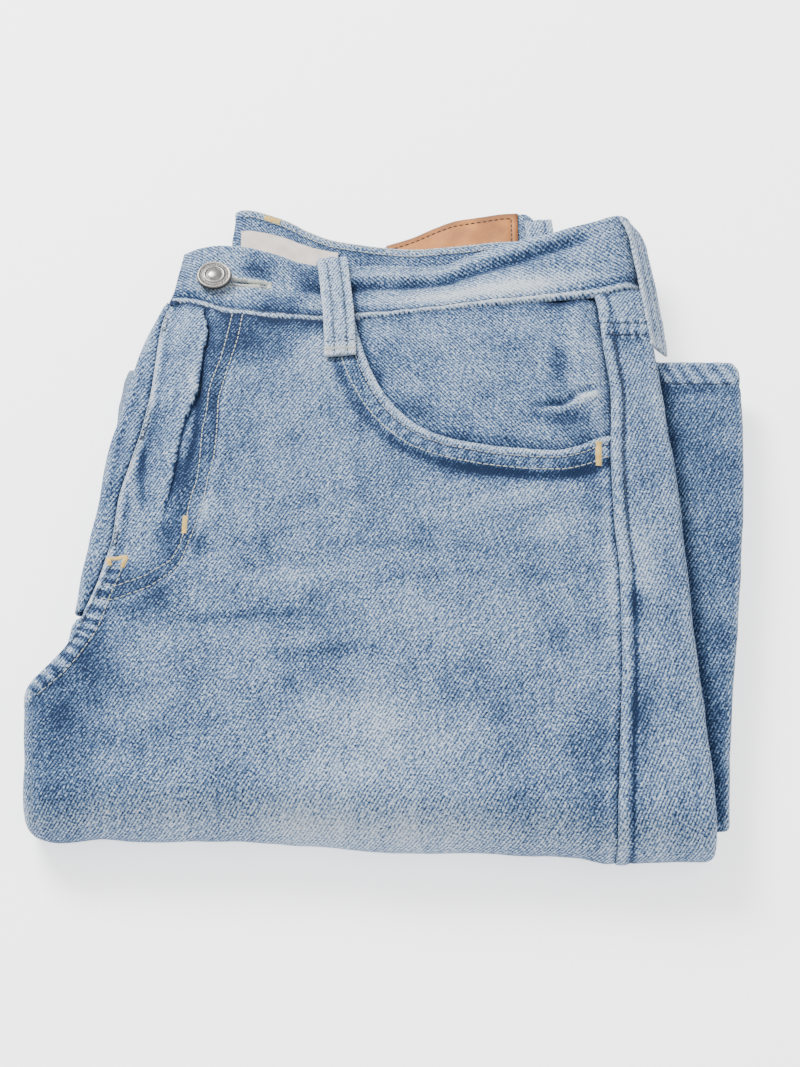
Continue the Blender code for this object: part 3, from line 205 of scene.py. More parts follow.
LEFT_WRAP = [
    ((-95, 139.6, 2.2), (-102, 107.4, 2.4)), ((-99.4, 139.8, 5.0), (-108.2, 107.8, 5.6)),
    ((-100.4, 139.8, 9.0), (-110.4, 107.8, 10.4)), ((-98.6, 139.6, 12.6), (-107.4, 107.8, 15.2)),
    ((-93.6, 139.4, 14.2), (-100.4, 107.2, 17.2)), ((-86, 139.2, 14.5), (-90, 105, 17.6)),
    ((-77, 139, 14.5), (-78, 103, 17.6)),
]

# Belt loops, as the middle line of each (x, y, z). The side loop's top is lower than its solid's
FRONT_LOOP = [
    (-32.8, 135.4, 16.2), (-32.6, 135.0, 19.6), (-31.9, 130.2, 22.0), (-30.8, 119, 24.4), (-29.6, 106, 27.4),
    (-28.6, 95, 30.0), (-28.0, 84, 31.4), (-27.6, 75, 32.6), (-27.2, 67.2, 33.2),
]
SIDE_LOOP = [
    (108.6, 148.4, 29.4), (110.6, 145, 29.4), (112.6, 138, 28.8), (114.2, 128, 27.4), (115.9, 116, 26.2),
    (117.2, 104, 25.4), (118.2, 94, 25.0), (118.9, 85, 24.8), (119.2, 77, 24.6),
]
BACK_LOOP = [
    (67.4, 167.2, 9.9), (67.8, 162, 10.2), (68.4, 152, 10.4), (69, 140, 10.2), (69.6, 131, 9.8),
]


def hermite(places, values, at):
    """Smooth curve through values at places, level at its own highs and lows and never beyond them."""
    places = np.asarray(places, float)
    at = np.clip(np.asarray(at, float), places[0], places[-1])
    values = np.asarray(values, float)
    if values.ndim == 1:
        values = np.broadcast_to(values.reshape((-1,) + (1,) * at.ndim), (len(places),) + at.shape)
    steps = np.diff(places).reshape((-1,) + (1,) * at.ndim)
    rise = np.diff(values, axis=0) / steps
    same = rise[1:] * rise[:-1] > 0
    total = np.where(same, rise[1:] + rise[:-1], 1.0)
    inner = np.where(same, 2 * rise[1:] * rise[:-1] / total, 0.0)
    slopes = np.concatenate([rise[:1], inner, rise[-1:]])
    low = np.clip(np.searchsorted(places, at, side="right") - 1, 0, len(places) - 2)
    span = places[low + 1] - places[low]
    f = (at - places[low]) / span
    v0 = np.take_along_axis(values, low[None], axis=0)[0]
    v1 = np.take_along_axis(values, low[None] + 1, axis=0)[0]
    m0 = np.take_along_axis(slopes, low[None], axis=0)[0] * span
    m1 = np.take_along_axis(slopes, low[None] + 1, axis=0)[0] * span
    g = 1 - f
    return (1 + 2 * f) * g * g * v0 + f * g * g * m0 + f * f * (3 - 2 * f) * v1 - f * f * g * m1


def along(table, at):
    """The second column of a table at places in its first."""
    rows = np.asarray(table, float)
    return hermite(rows[:, 0], rows[:, 1], at)


def smooth(low, high, value):
    """0 below low, 1 above high and an easy change between them."""
    f = np.clip((np.asarray(value, float) - low) / (high - low), 0, 1)
    return f * f * (3 - 2 * f)


def top_height(x, y):
    """Height of the upper leg's top face before its edges roll over."""
    x, y = np.broadcast_arrays(np.asarray(x, float), np.asarray(y, float))
    across = np.stack([hermite(HEIGHT_X, HEIGHT_ROWS[row], x) for row in sorted(HEIGHT_ROWS)])
    height = hermite(sorted(HEIGHT_ROWS), across, y)
    fly = np.exp(-(((x + 103 + 0.06 * (y - 40)) / 7) ** 2)) * smooth(-45, -5, y) * (1 - smooth(70, 98, y))
    return height + 1.3 * fly


def near_line(x):
    """Where the flat top ends and the legs begin to turn down round the near edge."""
    return along(NEAR_EDGE, x) + FOLD_REACH


def place(x, y, depth, turn=0.0, under=0.0, over=None):
    """A point at a depth below the upper leg's skin.

    turn is the angle round the near fold, pi on the underside, and under is how far beyond that it lies.
    over is the x at which the skin's height is taken, where an edge rolls over.
    """
    x, y, depth, turn, under = np.broadcast_arrays(*(np.asarray(v, float) for v in (x, y, depth, turn, under)))
    over = x if over is None else np.broadcast_to(np.asarray(over, float), x.shape)
    line = near_line(x)
    height = top_height(over, np.where(turn > 0, line, y))
    reach = height - FOLD_HEIGHT
    left = 1 - depth / reach
    radius = reach + (FOLD_HEIGHT - reach) * smooth(0, math.pi, turn)
    folded_y = line - FOLD_REACH * left * np.sin(turn) + under
    folded_z = FOLD_HEIGHT + radius * left * np.cos(turn)
    flat = turn <= 0
    return np.stack([x, np.where(flat, y, folded_y), np.where(flat, height - depth, folded_z)], axis=-1)


# Sheets of cloth

def grid_normals(grid):
    """Unit normals of a grid of points, pointing into the stack."""
    normals = np.cross(np.gradient(grid, axis=1), np.gradient(grid, axis=0))
    return normals / np.maximum(np.linalg.norm(normals, axis=2, keepdims=True), 1e-9)


def to_scene(points):
    """Metres in the scene, from the tables' millimetres."""
    return (np.asarray(points, float) - (CENTRE_X, CENTRE_Y, 0.0)) * MM


def from_scene(points):
    """The tables' millimetres, from metres in the scene."""
    return points / MM + (CENTRE_X, CENTRE_Y, 0.0)


def read_points(mesh, what="co"):
    """The places or the normals of a mesh's points."""
    values = np.empty(len(mesh.vertices) * 3)
    mesh.vertices.foreach_get(what, values)
    return values.reshape(-1, 3)


def keep_places(mesh, name, places):
    """A UV layer that gives each point one place."""
    corners = np.empty(len(mesh.loops), np.int32)
    mesh.loops.foreach_get("vertex_index", corners)
    layer = mesh.uv_layers.new(name=name)
    layer.data.foreach_set("uv", np.asarray(places, np.float32)[corners].ravel())


def keep_wear_and_shade(mesh, wear):
    """The wear of each point, with the shade and highlights painted into it at creases, seams, folds and grooves,
    which the finishes read.
    """
    kept = mesh.attributes.new("wear", "FLOAT", "POINT")
    kept.data.foreach_set("value", np.asarray(wear, np.float32).ravel())


def mesh_piece(name, points, faces, finish, weave=None, wear=None, baked=None):
    """An object from points in millimetres, with its cloth coordinates and its wear and painted shade kept on its
    points.
    """
    mesh = bpy.data.meshes.new(name)
    shifted = to_scene(points)
    shifted[:, 2] = np.maximum(shifted[:, 2], 0.0)
    mesh.from_pydata(shifted.tolist(), [], faces.tolist() if isinstance(faces, np.ndarray) else faces)
    mesh.polygons.foreach_set("use_smooth", np.ones(len(mesh.polygons), bool))
    for layer, places in (("OFBake", baked), ("cloth", weave)):
        if places is not None:
            keep_places(mesh, layer, places)
    if wear is not None:
        keep_wear_and_shade(mesh, wear)
    mesh.materials.append(finish)
    mesh.update()
    piece = bpy.data.objects.new(name, mesh)
    bpy.context.scene.collection.objects.link(piece)
    return piece


def grid_faces(rows, columns, closed=False):
    """Faces of a grid of points; closed joins the last column to the first."""
    r = np.arange(rows - 1)[:, None]
    c = np.arange(columns if closed else columns - 1)[None]
    after = (c + 1) % columns
    corners = (r * columns + c, (r + 1) * columns + c, (r + 1) * columns + after, r * columns + after)
    return np.stack(corners, -1).reshape(-1, 4)


def unrolled(grid, flat, anchor_column, anchor_row):
    """Cloth coordinates of a grid: its x and y where it lies flat, and lengths along it where it turns."""
    step_x = np.diff(grid[:, :, 0], axis=1)
    bent = ~(flat[:, 1:] & flat[:, :-1])
    step_x = np.where(bent, np.linalg.norm(np.diff(grid, axis=1), axis=2), step_x)
    u = np.concatenate([np.zeros((len(grid), 1)), np.cumsum(step_x, axis=1)], axis=1)
    u += (grid[:, anchor_column, 0] - u[:, anchor_column])[:, None]
    step_y = np.diff(grid[:, :, 1], axis=0)
    bent = ~(flat[1:] & flat[:-1])
    step_y = np.where(bent, -np.linalg.norm(np.diff(grid, axis=0), axis=2), step_y)
    v = np.concatenate([np.zeros((1, grid.shape[1])), np.cumsum(step_y, axis=0)], axis=0)
    v += (grid[anchor_row, :, 1] - v[anchor_row])[None]
    return np.stack([u, v], axis=-1)


# A sheet's rim, ring by ring: outward in thicknesses, or in millimetres where negative, and inward
RIM_OUT = np.array([0.0, 0.32, 0.5, 0.32, -2.6])
RIM_DOWN = np.array([0.0, 0.1, 0.5, 0.9, 1.0])


def cloth_piece(name, grid, weave, wear, finish, thick=CLOTH, relief=None):
    """A sheet whose outer face is a grid of points with relief, and whose edges turn round to its inner face."""
    if relief is not None:
        grid = grid - grid_normals(grid) * relief[..., None]
    inward = grid_normals(grid)
    rows, columns = grid.shape[:2]

    def out_of(edge, inner, normal):
        """Directions that lead out of the sheet across one of its edges."""
        way = np.cross(np.gradient(edge, axis=0), normal)
        way /= np.maximum(np.linalg.norm(way, axis=1, keepdims=True), 1e-9)
        return way * np.where(np.sum(way * (edge - inner), axis=1, keepdims=True) < 0, -1.0, 1.0)

    rings = len(RIM_OUT) - 1
    r = np.arange(-rings, rows + rings)
    c = np.arange(-rings, columns + rings)
    ring_r = np.maximum(np.maximum(-r, r - rows + 1), 0)
    ring_c = np.maximum(np.maximum(-c, c - columns + 1), 0)
    base_r = np.clip(r, 0, rows - 1)
    base_c = np.clip(c, 0, columns - 1)
    points = grid[np.ix_(base_r, base_c)]
    normals = inward[np.ix_(base_r, base_c)]
    spread = np.where(RIM_OUT < 0, RIM_OUT, RIM_OUT * thick)
    first = out_of(grid[0], grid[1], inward[0])[base_c]
    last = out_of(grid[-1], grid[-2], inward[-1])[base_c]
    side_a = out_of(grid[:, 0], grid[:, 1], inward[:, 0])[base_r]
    side_b = out_of(grid[:, -1], grid[:, -2], inward[:, -1])[base_r]
    along_r = np.where((r < 0)[:, None, None], first[None], last[None]) * spread[ring_r][:, None, None]
    along_c = np.where((c < 0)[None, :, None], side_a[:, None], side_b[:, None]) * spread[ring_c][None, :, None]
    depth = np.maximum(RIM_DOWN[ring_r][:, None], RIM_DOWN[ring_c][None]) * thick
    points = points + along_r + along_c + normals * depth[..., None]
    steps_u = np.where(c < 0, -ring_c, ring_c) * 0.7
    steps_v = np.where(r < 0, ring_r, -ring_r) * 0.7
    steps = np.stack(np.broadcast_arrays(steps_u[None], steps_v[:, None]), axis=-1)
    return woven_piece(name, points, weave[np.ix_(base_r, base_c)] + steps, wear[np.ix_(base_r, base_c)], finish)


def woven_piece(name, points, woven, wear, finish):
    """An object from a grid of points with its cloth coordinates, which also fill the layer that is baked."""
    flat = woven.reshape(-1, 2)
    low = flat.min(axis=0)
    baked = 0.005 + 0.99 * (flat - low) / (flat.max(axis=0) - low).max()
    faces = grid_faces(*points.shape[:2])
    return mesh_piece(name, points.reshape(-1, 3), faces, finish, flat, wear.ravel(), baked)


def even_shares(weights, count):
    """Shares from 0 to 1, closer together where the weights are greater."""
    total = np.concatenate([[0.0], np.cumsum((weights[1:] + weights[:-1]) / 2)])
    return np.interp(np.linspace(0, total[-1], count), total, np.linspace(0, 1, len(weights)))


def line_points(line, step):
    """A smooth line through (x, y) points, with points a step apart."""
    line = np.asarray(line, float)
    walked = np.concatenate([[0.0], np.cumsum(np.linalg.norm(np.diff(line, axis=0), axis=1))])
    at = np.linspace(0, walked[-1], max(2, int(round(walked[-1] / step)) + 1))
    return np.stack([hermite(walked, line[:, k], at) for k in range(line.shape[1])], axis=1)


def beside(line, x, y):
    """Distance from a line of (x, y) points, positive on its right side as it is walked, and the length walked."""
    line = line_points(line, 4.0)
    best = np.full(np.shape(x), 1e9)
    side = np.ones(np.shape(x))
    walked = np.zeros(np.shape(x))
    start = 0.0
    for a, b in zip(line[:-1], line[1:]):
        way = b - a
        length = math.hypot(*way)
        share = np.clip(((x - a[0]) * way[0] + (y - a[1]) * way[1]) / length ** 2, 0, 1)
        off_x = x - a[0] - way[0] * share
        off_y = y - a[1] - way[1] * share
        distance = np.hypot(off_x, off_y)
        nearer = distance < best
        best = np.where(nearer, distance, best)
        side = np.where(nearer, np.sign(off_x * way[1] - off_y * way[0]), side)
        walked = np.where(nearer, start + share * length, walked)
        start += length
    return best * side, walked


def ridge(distance, width):
    """1 on a line and 0 well away from it."""
    return np.exp(-((distance / width) ** 2))


def ripples(x, y, length, seed):
    """Soft uneven waves from -1 to 1, about a length apart."""
    full = 6.283
    total = 0.0
    for k in range(5):
        angle = 2.4 * k + seed
        slant = (x * math.cos(angle) + y * math.sin(angle)) / length * (0.8 + 0.13 * k)
        total = total + np.sin(slant * full + seed * (k + 1.7) + 1.3 * np.sin(0.31 * slant * full + k))
    return total / 3.2


def spots(table, x, y):
    """Sum of soft spots, each (x, y, half width, half height, amount, lean in degrees)."""
    total = 0.0
    for spot_x, spot_y, wide, high, amount, lean in table:
        c, s = math.cos(math.radians(lean)), math.sin(math.radians(lean))
        across = ((x - spot_x) * c + (y - spot_y) * s) / wide
        up = ((y - spot_y) * c - (x - spot_x) * s) / high
        total = total + amount * np.exp(-(across ** 2 + up ** 2))
    return total


# Lines sewn or creased on the front panel, as (x, y)
FLY_OUTER = [
    (-72.9, 98), (-74.9, 79.5), (-76.6, 69.9), (-79.9, 53.4), (-81.9, 40.4), (-81.8, 25.3), (-82.4, 10.6),
    (-84.7, -3.3), (-86.3, -16.9), (-91.8, -37.8), (-95.1, -47.6), (-100.3, -53.5), (-108.2, -59.4),
    (-116.2, -62.6), (-122.6, -64.9), (-129.2, -64.2),
]
FLY_INNER = [
    (-77.8, 98), (-81.6, 68.6), (-86.4, 45.1), (-86.7, 36.8), (-88.3, 22.5), (-88.5, 11.3), (-89.3, -2.6),
    (-91.4, -12.8), (-92.6, -21.6), (-93.7, -31.6), (-98.6, -45.6), (-103.4, -49), (-111.3, -54.2),
    (-116.7, -56.1), (-122, -57.8), (-126.5, -57.1),
]
TUCK = [
    (-91.9, 101), (-92.7, 95), (-90.3, 88), (-90.1, 80.3), (-91.3, 70.1), (-92.1, 49.7), (-95.8, 34.3), (-98, 24.2),
    (-100, 4.8), (-101.8, -9.4), (-103.9, -23), (-104.8, -34.2),
]
TUCK_BESIDE = [(-91.6, 62), (-91.2, 50), (-90.8, 43.5), (-90.9, 26.4), (-92.5, 12.6), (-94.4, -1.7)]
SHORT_TUCK = [(-113.2, 18), (-114.6, 4), (-113.8, -10), (-112.4, -22)]
CROTCH_ROW_OUT = [
    (-119.4, -48), (-121.4, -56), (-124.4, -65.5), (-126.4, -74.5), (-129.1, -82.1), (-134.2, -91.6),
    (-141.5, -101.8), (-147.4, -107.7), (-152.2, -112.2),
]
CROTCH_ROW_IN = [(-124.6, -47.5), (-127.0, -56), (-130.3, -65.2), (-134.2, -75.4), (-137.6, -84.6), (-141.8, -91.4)]
FLY_TACK = [(-93.2, -22.9), (-93.6, -32.3)]
CROTCH_TACKS = [
    [(-126.4, -43.9), (-117.3, -42.5)], [(-125.9, -43.6), (-124.6, -47.7)], [(-117.9, -42.7), (-119.4, -48.7)],
]
POCKET_TACK = [(88.2, 16.4), (87.7, 3.2)]
# Faded and darker spots, as (x, y, half width, half height, amount, lean in degrees)
PANEL_SPOTS = [
    (-8, -134, 31, 23, 0.23, 0), (-40, -157, 26, 14, 0.12, 0), (21, -76, 27, 15, 0.10, 10),
    (55, -13, 17, 5, 0.16, 5), (70, -25, 11, 6, 0.12, 0), (-41, 69, 13, 15, 0.12, 0), (73, -110, 12, 16, 0.06, 0),
    (-43, -54, 30, 4, 0.10, 3), (-59, -86, 32, 5, 0.09, -2), (-71, 78, 14, 15, -0.28, 0),
    (-83, 40, 5, 25, -0.20, 0), (-94, 0, 6, 27, -0.22, -4), (35, 1, 24, 4, -0.22, -4), (80, 2, 9, 7, -0.26, 0),
    (-140, -125, 14, 21, -0.24, 0), (-126, -93, 11, 12, -0.16, 0), (-106, -68, 12, 9, -0.13, 0),
    (-63, -74, 28, 2.2, -0.12, 2), (-9, -38, 24, 3, -0.09, -3), (-29, -92, 32, 3, -0.08, 2),
    (21, -54, 28, 3, -0.07, 0), (80, -148, 11, 25, -0.10, 0), (-18, 18, 2.6, 50, -0.06, 0),
    (-118, -160, 26, 9, -0.12, 0), (-20, -22, 34, 4, 0.06, 0), (60, -40, 20, 3, -0.05, 0),
    (-50, -108, 40, 5, -0.05, 0), (-112, 60, 6, 30, 0.10, -5), (-104, 88, 10, 12, 0.10, 0),
    (-110, 12, 7, 14, -0.14, 0), (-99, -36, 6, 14, -0.14, 0), (-114, -26, 5, 12, 0.08, 0),
    (-88, -36, 4, 6, -0.20, 0), (-108, -56, 8, 6, -0.16, 0), (84, 13, 5, 6, -0.16, 0), (-58, 90, 26, 6, -0.14, 0),
    (-50, 78, 8, 12, -0.12, -30),
]


def panel_rows(top, fold_step, under_step):
    """Rows of the leg's skin: shares of the way down the flat top, turns round the fold, lengths beneath."""
    share = np.concatenate([top, np.ones(int(180 / fold_step)), np.ones(int(FLAP_UNDER / under_step))])
    turn = np.zeros(len(share))
    bends = np.radians(np.arange(1, int(180 / fold_step) + 1) * fold_step)
    turn[len(top):len(top) + len(bends)] = bends
    turn[len(top) + len(bends):] = math.pi
    under = np.zeros(len(share))
    under[len(top) + len(bends):] = np.linspace(under_step, FLAP_UNDER, int(FLAP_UNDER / under_step))
    return share[:, None], turn[:, None], under[:, None]


def front_grid():
    """Outer face of the left front panel, from the waistband seam and the pocket mouth to its end underneath."""
    turned = np.radians(np.linspace(172, 8, 12))
    count = 208
    fine = np.linspace(-125, 93, 600)
    start = np.where(fine < MOUTH_START_X, along(WAIST_SEAM, fine), along(POCKET_MOUTH, fine))
    slope = np.abs(np.gradient(start, fine))
    near = ridge(fine + 98, 14)
    shares = even_shares(1 + 1.6 * np.minimum(slope, 2.5) + 0.7 * near, count)
    share, turn, under = panel_rows(np.linspace(0, 1, 208), 5, 2.0)
    bends = len(turned)
    x = np.repeat(np.linspace(-150, 90, bends + count)[None], len(share), axis=0)
    for _ in range(8):
        start = np.where(x < MOUTH_START_X, along(WAIST_SEAM, x) - SEAM_GAP, along(POCKET_MOUTH, x))
        y = start + (near_line(x) - start) * share
        side = along(SIDE_SEAM, y) - SEAM_GAP / 2
        edge = along(LEFT_EDGE, y) + 0.3 * under
        opened = 1 - smooth(CROTCH_Y - 6, CROTCH_Y, y)
        shut = along(CENTRE_SEAM, y) + SEAM_GAP
        roll_x, roll_z = 4.2, 3.3
        middle = edge + roll_x
        first = shut + (middle - shut) * opened
        rolled = middle[:, :bends] - roll_x * np.sin(turned)
        flat_x = shut[:, :bends] + np.linspace(0, 2.0, bends)
        x = np.concatenate([flat_x + (rolled - flat_x) * opened[:, :bends],
                            first[:, bends:] + (side - first)[:, bends:] * shares], axis=1)
    depth = np.zeros(x.shape)
    depth[:, :bends] = roll_z * (1 - np.cos(turned)) * opened[:, :bends]
    over = np.maximum(x, first)
    return x, y, depth, np.broadcast_to(turn, x.shape), np.broadcast_to(under, x.shape), over, bends


def front_relief(x, y, turn):
    """Relief, and wear with painted shade and highlights, of the left front panel: pocket band, fly, seams, creases
    and whiskers.
    """
    lies = 1 - smooth(0.0, 1.0, turn)
    beneath = 1 - smooth(1.6, 2.8, turn)
    relief = 0.42 * ripples(x, y, 64, 0.6) + 0.22 * ripples(x, y, 27, 2.1) + 0.07 * ripples(x, y, 11, 4.2)
    relief += 0.3 * spots(PANEL_SPOTS[7:9], x, y) / 0.1
    wear = 0.05 * ripples(x, y, 46, 1.1) + 0.045 * ripples(x, y, 17, 3.3) + spots(PANEL_SPOTS, x, y)
    crease = ridge((y + 118 + 0.05 * x + 3 * np.sin(x / 23)) / 1.0, 5) * smooth(-120, -60, x)
    relief -= 0.25 * crease

    mouth, walked = beside(POCKET_MOUTH, x, y)
    inside = mouth > -0.5
    band = (1 - smooth(10.4, 12.0, mouth)) * inside
    pucker = np.sin(walked / 0.9 + 1.6 * np.sin(walked / 9.0))
    relief += band * (0.6 + 0.10 * ridge(mouth - 6.8, 2.2) * pucker)
    relief += (-0.34 * ridge(mouth - 3.7, 0.9) - 0.42 * ridge(mouth - 10.2, 0.9)
               + 0.25 * ridge(mouth - 1.8, 1.3) * inside)
    relief -= 0.55 * ridge(mouth - 14.5, 3.0) * inside
    # Painted shade: darker in the groove of the inner stitch row; the lighter lip is wear.
    wear += 0.26 * ridge(mouth - 1.2, 1.9) * inside - 0.30 * ridge(mouth - 3.9, 0.7) * inside
    wear += 0.10 * ridge(mouth - 6.9, 2.2) * pucker * inside - 0.06 * ridge(mouth - 7, 3) * inside
    # Painted shadow: a darker band just below the pocket band's outer row.
    wear -= (0.20 + 0.12 * smooth(60, 110, walked)) * ridge(mouth - 13.2, 2.4) * inside

    for line, strength in ((FLY_OUTER, 1.0), (FLY_INNER, 0.8)):
        d, walked = beside(line, x, y)
        relief -= 0.30 * strength * ridge(d, 0.9)
        # Painted shade: darker in the stitch row's groove.
        wear -= 0.12 * strength * ridge(d, 0.9)
        relief += 0.14 * ridge(d, 3.4) * np.sin(walked / 1.15 + 2.0 * np.sin(walked / 13.0))
    d, walked = beside(FLY_OUTER, x, y)
    outside = ridge(d + 2.2, 1.6)
    wear += 0.15 * outside * smooth(20, 60, walked)
    relief += 0.28 * outside + 0.38 * (1 - smooth(-1.0, 0.6, -d)) * (1 - smooth(6, 10, d)) * 0.6

    d, walked = beside(CROTCH_ROW_OUT, x, y)
    between = (1 - smooth(7.2, 9.0, d)) * smooth(-0.8, 0.4, d) * (y < -45)
    relief += 0.75 * between
    relief -= 0.35 * ridge(d, 0.9)
    # Painted shade: darker in the row's groove and just outside the raised strip; the puckers between the rows are
    # wear.
    wear += between * (0.02 + 0.20 * np.sin(walked / 0.95 + 2 * np.sin(walked / 6.0))) - 0.22 * ridge(d, 0.9)
    wear -= 0.10 * ridge(d + 3.0, 2.6)
    d, _ = beside(CROTCH_ROW_IN, x, y)
    relief -= 0.3 * ridge(d, 0.8)
    # Painted shade: darker in the inner row's groove.
    wear -= 0.22 * ridge(d, 0.8)

    seam, walked = beside(WAIST_SEAM, x, y)
    near_seam = np.exp(-np.maximum(seam, 0) / 9.0) * (mouth > 9)
    pleats = np.sin(x / 2.9 + 1.2 * np.sin(x / 7.0)) * (0.6 + 0.4 * np.sin(x / 17.0))
    relief += 0.42 * pleats * near_seam * lies - 0.8 * np.exp(-np.maximum(seam, 0) / 1.4) * (mouth > 4)
    wear += 0.16 * pleats * near_seam * lies
    # Painted shadow: darker just under the waistband.
    wear -= 0.60 * np.exp(-np.maximum(seam, 0) / 2.6) * (mouth > 4)

    side = along(SIDE_SEAM, y) - x
    knots = np.sin(y / 1.7 + 2.0 * np.sin(y / 11.0))
    relief -= (0.75 * np.exp(-side / 1.4) + 0.35 * np.exp(-side / 7.0)) * beneath
    relief += 0.12 * np.exp(-side / 5.0) * knots * beneath
    # Painted shade: darker in the side seam's groove; the lighter ridge beside it is wear.
    wear += (0.18 * ridge(side - 3.4, 2.4) * (0.35 + ridge((y + 52), 34)) - 0.30 * np.exp(-side / 1.1)) * beneath
    wear += 0.05 * np.exp(-side / 5.0) * knots

    edge = x - np.maximum(along(CENTRE_SEAM, y), along(LEFT_EDGE, y))
    above = smooth(CROTCH_Y - 4, CROTCH_Y + 6, y)
    relief += above * (0.5 * ridge(edge - 1.6, 1.5) - 0.3 * ridge(edge - 4.6, 1.2))
    # Painted shade: darker in the groove beside the rolled centre edge; its lighter lip is wear.
    wear += above * (0.30 * ridge(edge - 0.8, 1.3) - 0.14 * ridge(edge - 4.4, 1.5))
    open_edge = (1 - above) * (turn < 0.4)
    wear += 0.10 * ridge(x - along(LEFT_EDGE, y), 2.4) * (1 - above)
    relief += 0.35 * open_edge * ridge(x - along(LEFT_EDGE, y) - 9, 5)

    # Painted highlight: lighter along the rounded near fold and a little lighter on its turned face.
    wear += 0.14 * ridge(turn - 1.0, 0.55) + 0.05 * smooth(0.3, 1.2, turn) * beneath
    relief += 0.30 * ripples(x, y, 38, 5.2) * smooth(0.1, 0.8, turn) * beneath
    relief *= 1 - smooth(2.2, 2.9, turn)
    return relief, wear


def tuck_folds(grid, x, y, wear, turn):
    """Lays the cloth left of the tuck beside the fly over the cloth on its right, with painted shade in the tucks'
    grooves and a painted highlight on their lips.
    """
    d, walked = beside(TUCK, x, y)
    d = -d
    whole = walked.max()
    strength = smooth(-6, 8, walked) * (1 - smooth(whole - 26, whole, walked)) * (turn < 0.1)
    strength = strength * (0.45 + 0.55 * (1 - smooth(50, 92, walked)) + 0.25 * ridge(walked - 100, 12))
    left = d < 0
    lift = np.where(left, 2.3 * np.exp(d / 8.0) - 0.9 * np.exp(d / 0.9),
                    -2.2 * np.exp(-d / 1.6) + 0.5 * ridge(d - 6, 3))
    grid[..., 2] += lift * strength
    grid[..., 0] += np.where(left, 1.5 * np.exp(d / 5.0), 1.5 * np.exp(-d / 0.7)) * strength
    # Painted highlight on the tuck's lip and painted shade in its groove, under the overhang.
    wear += strength * np.where(left, 0.22 * np.exp(d / 3.5), -0.75 * np.exp(-d / 1.5) - 0.18 * np.exp(-d / 6.0))
    for line, depth, width in ((TUCK_BESIDE, 1.0, 2.0), (SHORT_TUCK, 0.9, 2.6)):
        d, walked = beside(line, x, y)
        whole = walked.max()
        part = smooth(0, 9, walked) * (1 - smooth(whole - 12, whole, walked)) * (turn < 0.1)
        grid[..., 2] -= depth * part * ridge(d, width)
        # Painted highlight beside each short tuck and painted shade in its groove.
        wear += part * (0.15 * ridge(d - 3.5, 2.0) - 0.26 * ridge(d, width * 0.8))
    return grid, wear


def front_panel(finish):
    """The left front panel, which covers most of the stack."""
    x, y, depth, turn, under, over, bends = front_grid()
    grid = place(x, y, depth, turn, under, over)
    flat = (turn <= 0) & (depth <= 0)
    weave = unrolled(grid, flat, bends + 60, 0)
    relief, wear = front_relief(x, y, turn)
    keep = np.ones(x.shape)
    keep[:, :bends] = np.linspace(0, 1, bends)
    grid = grid - grid_normals(grid) * (relief * keep)[..., None]
    grid, wear = tuck_folds(grid, x, y, wear, turn)
    return cloth_piece("front_panel", grid, weave, wear, finish)


def yoke_line(x):
    """Yoke seam, a little below the waistband seam at the right edge."""
    return 87.2 + 0.1 * (x - 92)


BACK_SPOTS = [
    (103, -45, 8, 26, 0.20, 0), (100, -68, 4, 8, -0.30, 0), (105, 78, 9, 5, -0.18, 0), (110, 60, 10, 26, 0.06, 0),
    (99, -122, 5, 14, -0.16, 0), (112, -140, 12, 24, 0.04, 0), (100, 20, 5, 20, 0.08, 0), (108, -5, 8, 14, -0.08, 0),
]


